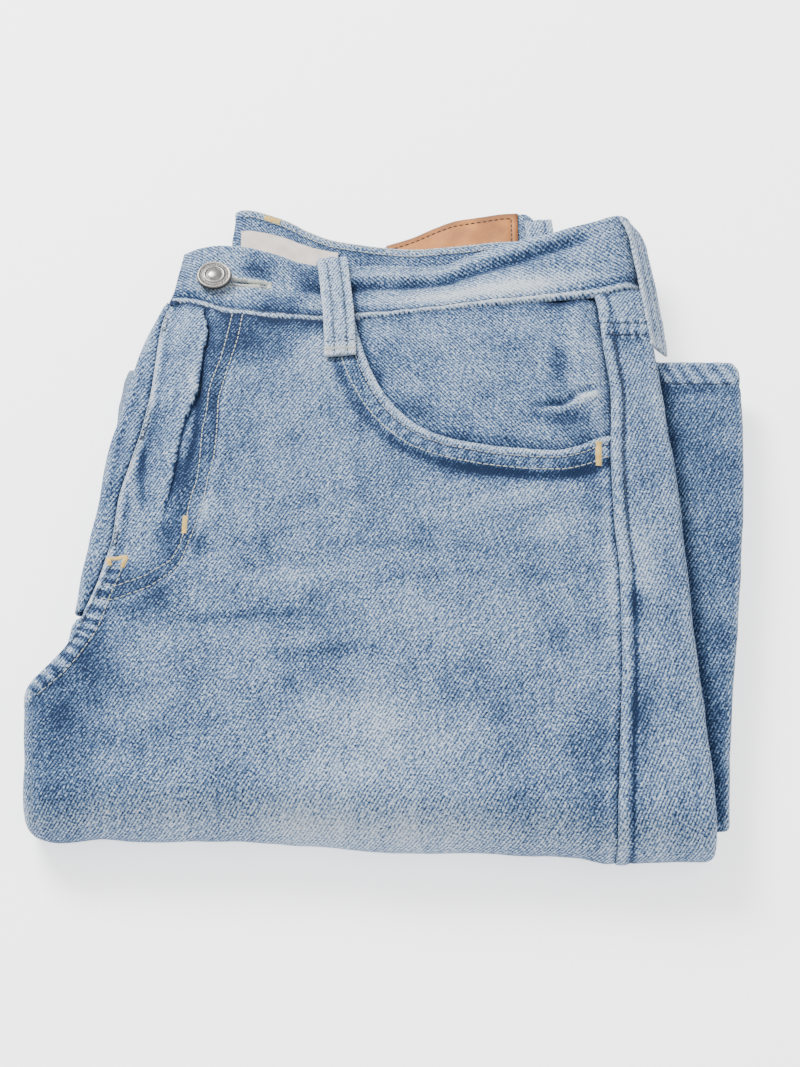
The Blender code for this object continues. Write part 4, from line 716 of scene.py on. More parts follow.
def side_piece(name, start, end, share, turn, under, finish, yoke):
    """Cloth right of the side seam, rolled over the right edge of the stack."""
    turned = np.radians(np.linspace(7, 172, 15))
    shares = np.concatenate([np.linspace(0, 0.3, 10)[:-1], np.linspace(0.3, 1, 20)])
    flat_count = len(shares)
    x = np.repeat(np.concatenate([np.linspace(92, 120, flat_count), np.full(15, 123.0)])[None], len(share), axis=0)
    for _ in range(6):
        y = start(x) + (end(x) - start(x)) * share
        roll_z = (4.6 + 3.4 * smooth(72, 98, y)) * (1 - 0.3 * smooth(0.1, 1.2, turn))
        side = along(SIDE_SEAM, y) + SEAM_GAP / 2
        middle = along(RIGHT_EDGE, y) - RIGHT_ROLL_WIDTH
        x = np.concatenate([side[:, :flat_count] + (middle - side)[:, :flat_count] * shares,
                            middle[:, flat_count:] + RIGHT_ROLL_WIDTH * np.sin(turned)], axis=1)
    beneath = 1 - smooth(1.0, 2.6, turn)
    from_seam = x - side
    depth = -SEAM_RIDGE * beneath * (1 - smooth(SEAM_RIDGE_WIDTH - 1.5, SEAM_RIDGE_WIDTH + 1.5, from_seam))
    depth[:, flat_count:] += roll_z[:, flat_count:] * (1 - np.cos(turned))
    turn = np.broadcast_to(turn, x.shape)
    grid = place(x, y, depth, turn, np.broadcast_to(under, x.shape), np.minimum(x, middle))
    flat = (turn <= 0) & (np.arange(x.shape[1]) < flat_count)
    weave = unrolled(grid, flat, 10, 0)
    knots = np.sin(y / 1.3 + 2.0 * np.sin(y / 9.0))
    seam_line = (x < middle + 1.0) * 1.0
    relief = (0.30 * ripples(x, y, 42, 1.7) + 0.10 * ripples(x, y, 13, 3.7)
              + 0.12 * ridge(from_seam - 2.4, 3.0) * knots)
    relief += -0.42 * ridge(from_seam - 5.4, 1.0) * seam_line - 0.5 * np.exp(-from_seam / 0.9) * seam_line
    wear = 0.05 * ripples(x, y, 33, 2.9) + 0.03 * ripples(x, y, 12, 0.4) + spots(BACK_SPOTS, x, y)
    # Painted shade: darker in the stitch row's groove at 5.6 mm; the lighter seam ridge is wear.
    wear += 0.20 * ridge(from_seam - 1.6, 1.2) * (0.7 + 0.4 * knots) - 0.34 * ridge(from_seam - 5.6, 0.9)
    # Lighter over the rolled edge, and a painted highlight along the rounded fold.
    wear += 0.06 * ridge(x - middle - 2.5, 3) + 0.12 * ridge(turn - 1.0, 0.6)
    if yoke:
        from_band = along(WAIST_SEAM, x) - y
        relief += -0.6 * np.exp(-from_band / 1.3) + 0.5 * ridge(from_band - 8, 5)
        # Painted shadow: darker just under the waistband.
        wear += 0.06 - 0.25 * np.exp(-from_band / 1.6)
    else:
        from_yoke = yoke_line(x) - y
        relief += 0.7 * (1 - smooth(11.4, 12.6, from_yoke)) - 0.3 * ridge(from_yoke - 2.8, 0.8)
        relief -= 0.3 * ridge(from_yoke - 9.8, 0.8)
        folded = 1 - smooth(11.2, 12.8, from_yoke)
        # Painted shade: darker in the grooves of the two yoke stitch rows; the folded allowance's stripes are wear.
        wear += folded * (0.08 + 0.14 * np.sin(x / 0.7)) - 0.22 * ridge(from_yoke - 2.8, 0.7)
        wear -= 0.22 * ridge(from_yoke - 9.8, 0.7)
    relief *= 1 - smooth(2.2, 2.9, turn)
    return cloth_piece(name, grid, weave, wear, finish, relief=relief)


def right_front_panel(finish):
    """Cloth beyond the centre seam, rolled over the left edge above the crotch."""
    turned = np.radians(np.linspace(172, 8, 14))
    shares = np.linspace(0, 1, 9)
    bends = len(turned)
    y = np.repeat(np.linspace(106.6, CROTCH_Y + 2.0, 130)[:, None], bends + len(shares), axis=1)
    seam = along(CENTRE_SEAM, y) - SEAM_GAP
    edge = along(LEFT_EDGE, y)
    middle = np.minimum(edge + LEFT_ROLL_WIDTH, seam - 1.0)
    x = middle + 0.3 + (seam - middle - 0.3) * np.concatenate([np.zeros(bends), shares])
    x[:, :bends] = (middle - (middle - edge) * np.sin(np.concatenate([turned, np.zeros(len(shares))])))[:, :bends]
    depth = np.full(x.shape, 0.25)
    roll_z = 3.4 + 4.4 * smooth(72, 100, y)
    depth[:, :bends] += roll_z[:, :bends] * (1 - np.cos(turned))
    grid = place(x, y, depth, over=np.maximum(x, middle))
    flat = np.arange(x.shape[1])[None] >= bends
    weave = unrolled(grid, np.broadcast_to(flat, x.shape), bends + 2, 0)
    relief = 0.35 * ripples(x * 2.0, y, 30, 2.3) - 1.5 * np.exp((x - seam) / 1.8)
    # Painted shade: darker along the centre seam's dip.
    wear = 0.10 + 0.07 * ripples(x * 2.0, y, 24, 5.5) - 0.3 * ridge(x - seam, 1.5)
    wear += -0.16 * ridge(x - edge - 5, 2.2) * ridge(y - 20, 46) + 0.1 * smooth(60, 90, y)
    return cloth_piece("right_front_panel", grid, weave, wear, finish, relief=relief)


FACING_SPOTS = [
    (84, 44, 5, 3.5, 0.30, 20), (77, 31, 9, 5, -0.26, 10), (82, 20, 8, 5, -0.16, 0), (72, 62, 4, 13, -0.22, 0),
    (62, 26, 10, 4, 0.06, 0), (80, 75, 4, 26, 0.16, 0), (30, 60, 34, 18, 0.05, 0), (-8, 62, 6, 20, -0.12, -20),
    (10, 34, 12, 5, -0.12, -35), (40, 84, 40, 5, 0.05, 0), (30, 36, 3, 30, -0.05, 0), (88, 62, 3, 34, 0.18, 0),
    (36, 19, 30, 3, -0.12, -8),
]
FACING_CREASE = [(90, 47), (84, 45.5), (78, 41.5), (74, 38), (66, 37.5), (56, 39)]


def pocket_cloth(finish):
    """Denim behind the pocket mouth."""
    shares = np.linspace(0, 1, 118)
    left = -36
    x = np.repeat(np.linspace(left, 93, 118)[None], 96, axis=0)
    share = np.linspace(0, 1, 96)[:, None]
    for _ in range(6):
        start = along(WAIST_SEAM, x) - SEAM_GAP
        y = start + (along(FACING_END, x) - start) * share
        x = left + (along(SIDE_SEAM, y) - SEAM_GAP / 2 - left) * shares
    grid = place(x, y, CLOTH + FACING_GAP)
    mouth, _ = beside(POCKET_MOUTH, x, y)
    clear = smooth(0.0, 9.0, -mouth)
    bulge = (0.9 * clear + 0.9 * smooth(6, 34, -mouth)) * smooth(0, 8, along(SIDE_SEAM, y) - x)
    relief = bulge + 0.30 * clear * ripples(x, y, 31, 4.4) + 0.1 * clear * ripples(x, y, 12, 1.9)
    d, walked = beside(FACING_CREASE, x, y)
    part = smooth(0, 4, walked + 1) * (1 - smooth(22, 36, walked))
    relief += clear * part * (1.2 * ridge(d + 2.6, 2.4) - 1.5 * ridge(d - 1.4, 1.9))
    wear = -0.02 + 0.05 * ripples(x, y, 29, 0.2) + 0.03 * ripples(x, y, 10, 2.2) + spots(FACING_SPOTS, x, y)
    # Painted highlight on the crease's ridge and painted shade in its groove.
    wear += part * (0.22 * ridge(d + 2.4, 1.8) - 0.30 * ridge(d - 1.4, 1.6))
    # Painted shadow: darker along the pocket mouth and just under the waistband.
    wear -= 0.30 * ridge(mouth, 2.6) + 0.16 * np.exp(-(along(WAIST_SEAM, x) - y) / 2.4)
    side = along(SIDE_SEAM, y) - x
    # Painted shade: darker at the side seam.
    wear -= 0.2 * np.exp(-side / 1.3)
    relief -= 0.5 * np.exp(-side / 2.0) + 0.6 * np.exp(-(along(WAIST_SEAM, x) - y) / 2.0)
    gape = ridge(x - 76, 9) * ridge(along(WAIST_SEAM, x) - y, 5)
    relief -= 1.3 * gape
    # Painted shade in the gape by the waistband.
    wear -= 0.4 * gape
    weave = np.stack([x, y], axis=-1)
    return cloth_piece("pocket_cloth", grid, weave, wear, finish, relief=np.minimum(relief, 2.4))


def leg_cloth(finish):
    """The strip of the lower leg that shows at the right, with its hem."""
    turned = np.radians(np.linspace(8, 168, 12))
    shares = np.linspace(0, 1, 34)
    fold = np.radians(np.linspace(4, 74, 15))
    share = np.concatenate([np.linspace(0, 1, 190), np.ones(15)])[:, None]
    turn = np.concatenate([np.zeros(190), fold])[:, None]
    flat_count = len(shares)
    edge_width = 3.2
    x = np.repeat(np.linspace(116, 152, flat_count + 12)[None], len(share), axis=0)
    for _ in range(6):
        line = near_line(x)
        y = HEM_Y + (line - HEM_Y) * share
        inner = along(RIGHT_EDGE, y) - RIGHT_ROLL_WIDTH - 1.2
        middle = along(LEG_RIGHT_EDGE, y) - edge_width
        x = np.concatenate([inner[:, :flat_count] + (middle - inner)[:, :flat_count] * shares,
                            middle[:, flat_count:] + edge_width * np.sin(turned)], axis=1)
    over = 112.0
    height = 20.9 - 1.6 * smooth(40, 72, y) + 0 * x
    height[:, flat_count:] -= 2.7 * (1 - np.cos(turned))
    from_hem = HEM_Y - y
    hem = 0.7 * (1 - smooth(13.0, 14.5, from_hem))
    turn = np.broadcast_to(turn, x.shape)
    depth = top_height(over, np.where(turn > 0, line, y)) - height - hem * (turn == 0)
    grid = place(x, y, depth, turn, 0.0, over)
    flat = (turn <= 0) & (np.arange(x.shape[1]) < flat_count)
    weave = unrolled(grid, flat, 10, 0)
    roping = np.sin((x - 0.5 * from_hem) / 1.15 + 0.9 * np.sin(x / 5.0))
    band = 1 - smooth(12.0, 14.5, from_hem)
    relief = 0.25 * ripples(x, y, 36, 3.1) + 0.08 * ripples(x, y, 12, 0.9)
    relief += band * 0.20 * roping - 0.45 * ridge(from_hem - 12.2, 0.9)
    wear = -0.10 + 0.06 * ripples(x, y, 40, 1.2) + 0.03 * ripples(x, y, 13, 4.9)
    # Painted shade: darker in the hem's stitch groove and just beyond the hem; the lighter roping is wear.
    wear += band * (0.14 + 0.16 * roping) - 0.22 * ridge(from_hem - 12.3, 0.8) - 0.12 * ridge(from_hem - 16, 3)
    # Lighter at the hem edge and the rolled edge, and a painted highlight along the fold.
    wear += 0.22 * ridge(from_hem, 1.2) + 0.16 * ridge(x - middle - 2.6, 1.6) + 0.16 * ridge(turn - 0.8, 0.5)
    # Painted shadow cast by the stack's right edge.
    wear -= 0.14 * ridge(x - along(RIGHT_EDGE, y) - 1, 4)
    return cloth_piece("leg_cloth", grid, weave, wear, finish, relief=relief)


# The waistband and the belt loops

def band_piece(name, top, low, thick, finish, dress, step=1.4):
    """A band of cloth between two edges, round at both, with relief, and wear with painted shade and highlights,
    from dress(points, s, a, outer).

    s is the length along the band, a the distance from its top edge, and outer tells its outer face.
    """
    top = np.asarray(top, float)
    low = np.asarray(low, float)
    middle = (top + low) / 2
    walked = np.concatenate([[0.0], np.cumsum(np.linalg.norm(np.diff(middle, axis=0), axis=1))])
    at = np.linspace(0, walked[-1], int(walked[-1] / step) + 1)
    top = np.stack([hermite(walked, top[:, k], at) for k in range(3)], axis=1)
    low = np.stack([hermite(walked, low[:, k], at) for k in range(3)], axis=1)
    width = float(np.linalg.norm(low - top, axis=1).mean())
    half = thick / 2
    corner = half * (1 - np.cos(np.radians((0, 22, 45, 67, 90))))
    inner_steps = np.arange(half + 0.9, width - half - 0.5, 1.05)
    a = np.concatenate([corner, inner_steps, width - corner[::-1]])
    share = a / width
    grid = top[None] + (low - top)[None] * share[:, None, None]
    inward = grid_normals(grid)
    from_edge = np.clip(np.minimum(a, width - a), 0, half)
    n = np.sqrt(np.maximum(half ** 2 - (half - from_edge) ** 2, 0))
    index = np.concatenate([np.arange(len(a) - 1, 0, -1), np.arange(len(a))])
    outer = (np.arange(len(index)) >= len(a) - 1)[:, None]
    points = grid[index]
    across = a[index][:, None]
    relief, wear = dress(points, at[None], across, outer)
    sign = np.where(outer, -1.0, 1.0)
    lifted = n[index][:, None] + relief * (n[index][:, None] / half)
    points = points + inward[index] * (sign * lifted)[..., None]
    woven = np.stack(np.broadcast_arrays(at[None], np.where(outer, -across, across)), axis=-1)
    wear = np.broadcast_to(wear, points.shape[:2])
    for end in (0, -1):
        way = grid[index][:, end] - grid[index][:, 1 if end == 0 else -2]
        way /= np.linalg.norm(way, axis=1, keepdims=True)
        extra = []
        for out, left in ((0.36, 0.8), (0.5, 0.4), (0.52, 0.0)):
            flat = grid[index][:, end] + way * out * thick
            extra.append(flat + (points[:, end] - grid[index][:, end]) * left)
        block = np.stack(extra if end == -1 else extra[::-1], axis=1)
        copies = np.repeat(woven[:, [end]], 3, axis=1)
        # Copies of the end's wear and painted shade.
        worn = np.repeat(wear[:, [end]], 3, axis=1)
        copies[..., 0] += np.array([-1.5, -1.0, -0.5] if end == 0 else [0.5, 1.0, 1.5])
        pairs = ((block, points), (copies, woven), (worn, wear))
        points, woven, wear = (np.concatenate(pair if end == 0 else pair[::-1], axis=1) for pair in pairs)
    return woven_piece(name, points, woven, wear, finish)


BAND_SPOTS = [
    (36, 13, 9, 7, -0.36, 10), (52, 26, 11, 4, -0.18, 0), (16, 24, 9, 5, 0.12, 0),
    (62, 12, 10, 9, -0.26, 0), (78, 20, 8, 10, -0.28, 20), (66, 24, 5, 8, 0.14, 0), (50, 20, 10, 10, 0.10, 0),
    (28, 30, 12, 5, 0.14, 0), (45, 29, 13, 5, -0.12, 0), (84, 28, 8, 6, -0.14, 0), (30, 8, 14, 6, 0.08, 0),
    (150, 30, 52, 7, 0.40, 0), (110, 12, 5, 10, -0.12, 15), (60, 34, 20, 3, -0.10, 0),
    (130, 28, 26, 4, 0.08, 0), (168, 30, 22, 4, 0.14, 0), (196, 9, 12, 9, 0.08, 0), (184, 20, 18, 4, -0.12, 8),
]


def dress_waistband(points, s, a, outer):
    """Relief, and wear with painted shade and highlights, of the waistband: its valley, its lower fold, its inside
    and its buttonhole.
    """
    front_end = 206.0
    front = (1 - smooth(front_end - 4, front_end + 8, s)) * outer
    x = points[..., 0]
    share = a / BAND_WIDTH
    relief = 0.30 * ripples(s, a * 1.4, 31, 3.9) + 0.10 * ripples(s, a, 11, 1.5)
    wear = 0.04 * ripples(s, a, 36, 5.1) + 0.03 * ripples(s, a, 12, 2.6) + 0 * x
    window = smooth(-60, -25, x) * (1 - smooth(80, 96, x)) * front
    valley = 0.44 - 0.0021 * (x + 15) + 0.03 * np.sin(x / 21.0)
    relief += window * (1.4 * ridge(share - valley + 0.16, 0.11) - 1.8 * ridge(share - valley, 0.09))
    # Painted highlight on the rim above the valley and on the bulge below it, and painted shade in the valley.
    wear += window * (0.16 * ridge(share - valley + 0.19, 0.07) - 0.24 * ridge(share - valley, 0.07)
                      + 0.10 * ridge(share - valley - 0.28, 0.14))
    wear += spots(BAND_SPOTS, s, a) * front
    waves = np.sin(s / 2.3 + 1.5 * np.sin(s / 9.0))
    piping = ridge(a - 36.6, 1.0)
    relief += outer * (0.75 * piping - 0.45 * ridge(a - 33.6, 1.0))
    # The piping's lighter edge is wear; painted shade in the groove above it and a band above that.
    wear += outer * (0.34 * piping - 0.26 * ridge(a - 33.8, 0.8) - 0.14 * ridge(a - 31.5, 2.2))
    relief += outer * 0.16 * waves * ridge(a - 34, 4)
    wear += 0.10 * ridge(a, 2.0) + 0.04 * waves * ridge(a - 33, 4) * outer
    inside = (1 - outer) * smooth(226, 240, s)
    relief += inside * (0.35 * ridge(a - 2.6, 1.6) - 0.3 * ridge(a - 5.2, 0.9))
    # Painted shade in the inside stitch groove.
    wear += inside * (0.24 * ridge(a - 2.6, 2.4) - 0.18 * ridge(a - 5.6, 0.9) - 0.06)
    hole_x = points[..., 0] - BUTTON_X
    hole_y = points[..., 1] - BUTTON_Y + SLIT_SLOPE * hole_x
    along_hole = smooth(-2, 1, hole_x) * (1 - smooth(SLIT_LENGTH - 1.5, SLIT_LENGTH + 1.5, hole_x)) * front
    relief += along_hole * (0.45 * ridge(np.abs(hole_y) - 1.9, 1.0) - 1.5 * ridge(hole_y, 0.9))
    # Painted shade in the buttonhole slit; its rims are lighter with wear.
    wear += along_hole * (0.42 * ridge(np.abs(hole_y) - 1.7, 1.7) - 0.85 * ridge(hole_y, 0.7))
    wear += 0.12 * front * ridge(np.hypot(hole_x - 6, hole_y * 1.4), 16)
    return relief, wear


def dress_loop(length, end_fold):
    """Dress of a belt loop: two sewn rows, a rounded middle and a worn folded end."""
    def dress(points, s, a, outer):
        relief = 0.16 * ripples(s, a * 2, 15, 2.7) + 0.10 * np.sin(s / 1.2) * ridge(a - LOOP_WIDTH * 0.3, 2)
        relief = relief + 0.45 * ridge(a - LOOP_WIDTH / 2, 2.6) * outer
        relief = relief - outer * 0.35 * (ridge(a - LOOP_WIDTH * 0.28, 0.8) + ridge(a - LOOP_WIDTH * 0.68, 0.8))
        wear = 0.16 + 0.05 * ripples(s, a, 14, 0.8) + 0 * points[..., 0]
        # Painted shade: darker in the grooves of the two sewn rows.
        wear = wear - outer * 0.28 * (ridge(a - LOOP_WIDTH * 0.28, 0.7) + ridge(a - LOOP_WIDTH * 0.68, 0.7))
        wear = wear + 0.14 * (ridge(a, 1.6) + ridge(a - LOOP_WIDTH, 1.6)) + 0.20 * ridge(s - length, 6) * end_fold
        relief = relief - end_fold * outer * 0.4 * ridge(s - length + 9.0, 0.9)
        return relief, wear
    return dress


def make_waistband(finish):
    """The whole waistband as one ribbon, doubled back and forth."""
    stations = (FRONT_BAND + RIGHT_FOLD + BACK_BAND_LEFT + CENTRE_BACK_FOLD + BACK_BAND_RIGHT + RIGHT_UNDER_FOLD
                + RIGHT_FRONT_BAND + LEFT_WRAP)
    top = [s[0] for s in stations]
    low = [s[1] for s in stations]
    return band_piece("waistband_cloth", top, low, BAND_THICK, finish, dress_waistband)


def make_loop(name, line, side, width, finish, end_fold=1.0):
    """A belt loop along a line, with the direction of its width."""
    line = np.array(line)
    unit = np.array(side, float) / np.linalg.norm(side)
    length = float(np.sum(np.linalg.norm(np.diff(line, axis=0), axis=1)))
    dress = dress_loop(length, end_fold)
    return band_piece(name, line + unit * width / 2, line - unit * width / 2, LOOP_THICK, finish, dress, step=0.9)


def band_edge(parts, column, edge):
    """A table of (x, value) for one edge of the waistband's stations, sorted by x."""
    rows = {station[edge][0]: station[edge][column] for station in parts}
    return sorted(rows.items())


def patch_grid(parts, start, end, from_top, to_bottom, lift, columns, rows):
    """Points just above a stretch of the waistband, between two depths below its top edge."""
    top = {c: band_edge(parts, c, 0) for c in (1, 2)}
    low = {c: band_edge(parts, c, 1) for c in (1, 2)}
    down = np.linspace(from_top, to_bottom, rows).reshape(rows, -1) / BAND_WIDTH
    x = np.linspace(start, end, columns)
    y = along(top[1], x) + (along(low[1], x) - along(top[1], x)) * down
    z = along(top[2], x) + (along(low[2], x) - along(top[2], x)) * down
    return np.stack([np.broadcast_to(x, y.shape), y, z + BAND_THICK / 2 + lift], axis=2)


def make_patch(finish):
    """The bare leather patch, with its sewn border pressed in."""
    grid = patch_grid(BACK_BAND_RIGHT, PATCH_START, PATCH_END, 1.6, 34.0, TRIM_LIFT + PATCH_THICK, 64, 34)
    x, y = grid[..., 0], grid[..., 1]
    from_top = np.linspace(0, 32.4, 34)[:, None] + 0 * x
    edge = np.minimum(np.minimum(from_top, PATCH_END - x), x - PATCH_START)
    relief = -0.35 * ridge(edge - 3.0, 0.9) - 0.25 * np.exp(-edge / 0.8) + 0.12 * ripples(x, y, 17, 1.2)
    wear = -0.5 * ridge(edge, 1.2) - 0.25 * ridge(edge - 3.0, 0.9) + 0.2 * ripples(x, y, 21, 3.0)
    weave = np.stack([x, -from_top], axis=-1)
    return cloth_piece("patch", grid, weave, wear, finish, thick=PATCH_THICK, relief=relief)


def make_label(finish):
    """The bare label tape. It is longer than its solid and its top slopes, as in the photograph."""
    top = np.linspace(15.5, 9.0, 54)
    grid = patch_grid(BACK_BAND_LEFT, LABEL_START, LABEL_END, top, 33.0, TRIM_LIFT + LABEL_THICK, 54, 26)
    x, y = grid[..., 0], grid[..., 1]
    from_top = np.linspace(0, 21.5, 26)[:, None] + 0 * x
    relief = 0.25 * ripples(x, y, 14, 0.7) + 0.10 * ripples(x, y, 6, 2.2)
    wear = 0.2 * ripples(x, y, 13, 1.9) - 0.3 * ridge(from_top, 0.8)
    weave = np.stack([x, -from_top], axis=-1)
    return cloth_piece("label_tape", grid, weave, wear, finish, thick=LABEL_THICK, relief=relief)


def turned_piece(name, profile, centre, finish, count=96):
    """A round piece turned from (radius, height) pairs."""
    profile = np.array(profile)
    angle = np.linspace(0, 2 * math.pi, count, endpoint=False)
    ring = np.stack([np.cos(angle), np.sin(angle)], axis=1)
    points = []
    for radius, height in profile:
        points.append(np.concatenate([ring * radius, np.full((count, 1), height)], axis=1) + centre)
    faces = grid_faces(len(profile), count, closed=True)
    return mesh_piece(name, np.concatenate(points), faces, finish)


def make_button(finish):
    """The button: foot, shank, rim, pebbled ring and raised centre."""
    r = BUTTON_RADIUS
    profile = [
        (0.02, 1.0), (2.3, 1.0), (1.0, 1.5), (1.0, 7.3), (r - 1.2, 7.4), (r - 0.5, 7.6), (r - 0.08, 8.1), (r, 8.5),
        (r - 0.1, 8.9), (r - 0.4, 9.3), (r - 0.8, 9.48), (r - 1.2, 9.42), (r - 1.5, 9.2), (r - 1.8, 9.16),
        (5.6, 9.22), (5.2, 9.32), (4.9, 9.62), (4.55, 9.74), (4.2, 9.62), (3.95, 9.3), (3.7, 9.22), (3.4, 9.36),
        (2.9, 9.72), (2.2, 9.98), (1.4, 10.12), (0.7, 10.18), (0.02, 10.2),
    ]
    return turned_piece("button_head", profile, (BUTTON_X, BUTTON_Y, BUTTON_Z), finish)


def make_hidden_layers(finish):
    """All the hidden layers, softened from their solid, with shade painted in the grooves between the layers and a
    little painted light on their crests.
    """
    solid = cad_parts["folded_layers"]
    copy = bpy.data.objects.new("layers_work", solid.data.copy())
    bpy.context.scene.collection.objects.link(copy)
    fine = copy.modifiers.new("fine", "REMESH")
    fine.mode = "VOXEL"
    fine.voxel_size = 0.0017
    bpy.context.view_layer.update()
    shown = copy.evaluated_get(bpy.context.evaluated_depsgraph_get()).to_mesh()
    points = from_scene(read_points(shown))
    faces = [tuple(p.vertices) for p in shown.polygons]
    copy.to_mesh_clear()
    bpy.data.objects.remove(copy)
    edges = np.array([(f[k], f[(k + 1) % len(f)]) for f in faces for k in range(len(f))])
    counts = np.maximum(np.bincount(edges[:, 0], minlength=len(points)), 1)[:, None]

    def soften(values, times):
        for _ in range(times):
            sums = [np.bincount(edges[:, 0], values[edges[:, 1], k], len(points)) for k in range(3)]
            total = np.stack(sums, axis=1)
            values = 0.5 * values + 0.5 * total / counts
        return values

    soft = soften(points, 3)
    softer = soften(soft, 14)
    made = mesh_piece("inner_layers", soft, faces, finish)
    normals = read_points(made.data, "normal")
    cavity = np.sum((soft - softer) * normals, axis=1)
    x, y, z = soft.T
    ripple = 0.25 * ripples(y, z * 3 + x * 0.3, 37, 1.2) + 0.10 * ripples(y, z * 2, 14, 2.8)
    upright = 1 - np.abs(normals[:, 2])
    soft = soft + normals * (np.minimum(ripple, 0.1) * upright * (z > 1.0))[:, None]
    made.data.vertices.foreach_set("co", to_scene(soft).ravel())
    keep_places(made.data, "cloth", np.stack([x + z * normals[:, 0], y + z * normals[:, 1]], axis=1))
    # Painted shade in the grooves between the layers and painted light on their crests, from the cavity.
    keep_wear_and_shade(made.data, np.clip(cavity * 0.55, -0.55, 0.16) + 0.03 * ripples(y, z * 3, 30, 0.4) - 0.02)
    made.data.update()
    return made


# Sewing thread

def tree_of(*pieces):
    """The pieces' faces together, to lay thread on, in millimetres."""
    points, faces = [], []
    for piece in pieces:
        mesh = piece.data
        first = len(points)
        points += from_scene(read_points(mesh)).tolist()
        faces += [tuple(first + v for v in p.vertices) for p in mesh.polygons]
    return BVHTree.FromPolygons(points, faces)


def laid(tree, line, step=0.7):
    """A line of (x, y) points laid on the faces from above: places and normals."""
    places, normals = [], []
    for x, y in line_points(line, step):
        place_hit, normal, _, _ = tree.ray_cast(Vector((x, y, 90.0)), Vector((0, 0, -1)))
        if place_hit is not None:
            places.append(place_hit)
            normals.append(normal if normal.z > 0 else -normal)
    return np.array(places), np.array(normals)


def stitch_points(places, normals, pitch, length, radius, across=0.0, sunk=0.75, lean=0.0):
    """Points of the stitches along a laid line, as rings; across makes them bars of that width."""
    if len(places) < 3:
        return np.zeros((0, STITCH_RINGS, STITCH_SIDES, 3))
    walked = np.concatenate([[0.0], np.cumsum(np.linalg.norm(np.diff(places, axis=0), axis=1))])
    starts = np.arange(0.3, walked[-1] - length * 0.6, pitch)

    def at(where, values):
        return np.stack([np.interp(where, walked, values[:, k]) for k in range(3)], axis=-1)

    up = at(starts + length / 2, normals)
    up /= np.linalg.norm(up, axis=1, keepdims=True)
    way = at(starts + length, places) - at(starts, places) + 1e-9
    way /= np.linalg.norm(way, axis=1, keepdims=True)
    beside_way = np.cross(up, way)
    shares = np.array((0.0, 0.18, 0.5, 0.82, 1.0))
    if across:
        middle = at(starts, places)
        run = beside_way + way * lean
        centres = middle[:, None] + run[:, None] * ((shares - 0.5) * across)[None, :, None]
        way, beside_way = run, way
    else:
        centres = at(starts[:, None] + length * shares[None], places)
        centres = centres + beside_way[:, None] * (lean * (shares - 0.5) * length)[None, :, None]
    lift = np.array((-1.0, 0.35, 0.8, 0.35, -1.0)) * radius * sunk
    centres = centres + up[:, None] * lift[None, :, None]
    thick = np.array((0.7, 1.0, 1.06, 1.0, 0.7)) * radius
    angle = np.radians(np.arange(STITCH_SIDES) * (360.0 / STITCH_SIDES))
    ring = (beside_way[:, None, None] * np.cos(angle)[None, None, :, None]
            + up[:, None, None] * np.sin(angle)[None, None, :, None])
    return centres[:, :, None] + ring * thick[None, :, None, None]


def thread_piece(name, rows, finish):
    """One mesh of all the stitches of a colour."""
    blocks = [b for b in rows if len(b)]
    points = np.concatenate(blocks)
    count = len(points)
    one = grid_faces(STITCH_RINGS, STITCH_SIDES, closed=True)[:, ::-1]
    faces = (one[None] + (np.arange(count) * STITCH_RINGS * STITCH_SIDES)[:, None, None]).reshape(-1, 4)
    return mesh_piece(name, points.reshape(-1, 3), faces, finish)


# Finishes

class Wire:
    """An output in a finish. Arithmetic on it adds Math nodes to that finish."""

    def __init__(self, finish, socket):
        self.finish = finish
        self.socket = socket

    def math(self, operation, *values):
        return self.finish.node("ShaderNodeMath", {"operation": operation}, dict(enumerate(values)))

    def __add__(self, other):
        return self.math("ADD", self, other)

    def __radd__(self, other):
        return self.math("ADD", other, self)

    def __sub__(self, other):
        return self.math("SUBTRACT", self, other)

    def __rsub__(self, other):
        return self.math("SUBTRACT", other, self)

    def __mul__(self, other):
        return self.math("MULTIPLY", self, other)

    def __rmul__(self, other):
        return self.math("MULTIPLY", other, self)

    def __truediv__(self, other):
        return self.math("DIVIDE", self, other)

    def __rtruediv__(self, other):
        return self.math("DIVIDE", other, self)

    def sine(self):
        return self.math("SINE", self)

    def size(self):
        return self.math("ABSOLUTE", self)

    def clamped(self, low, high):
        return self.math("MINIMUM", self.math("MAXIMUM", self, low), high)


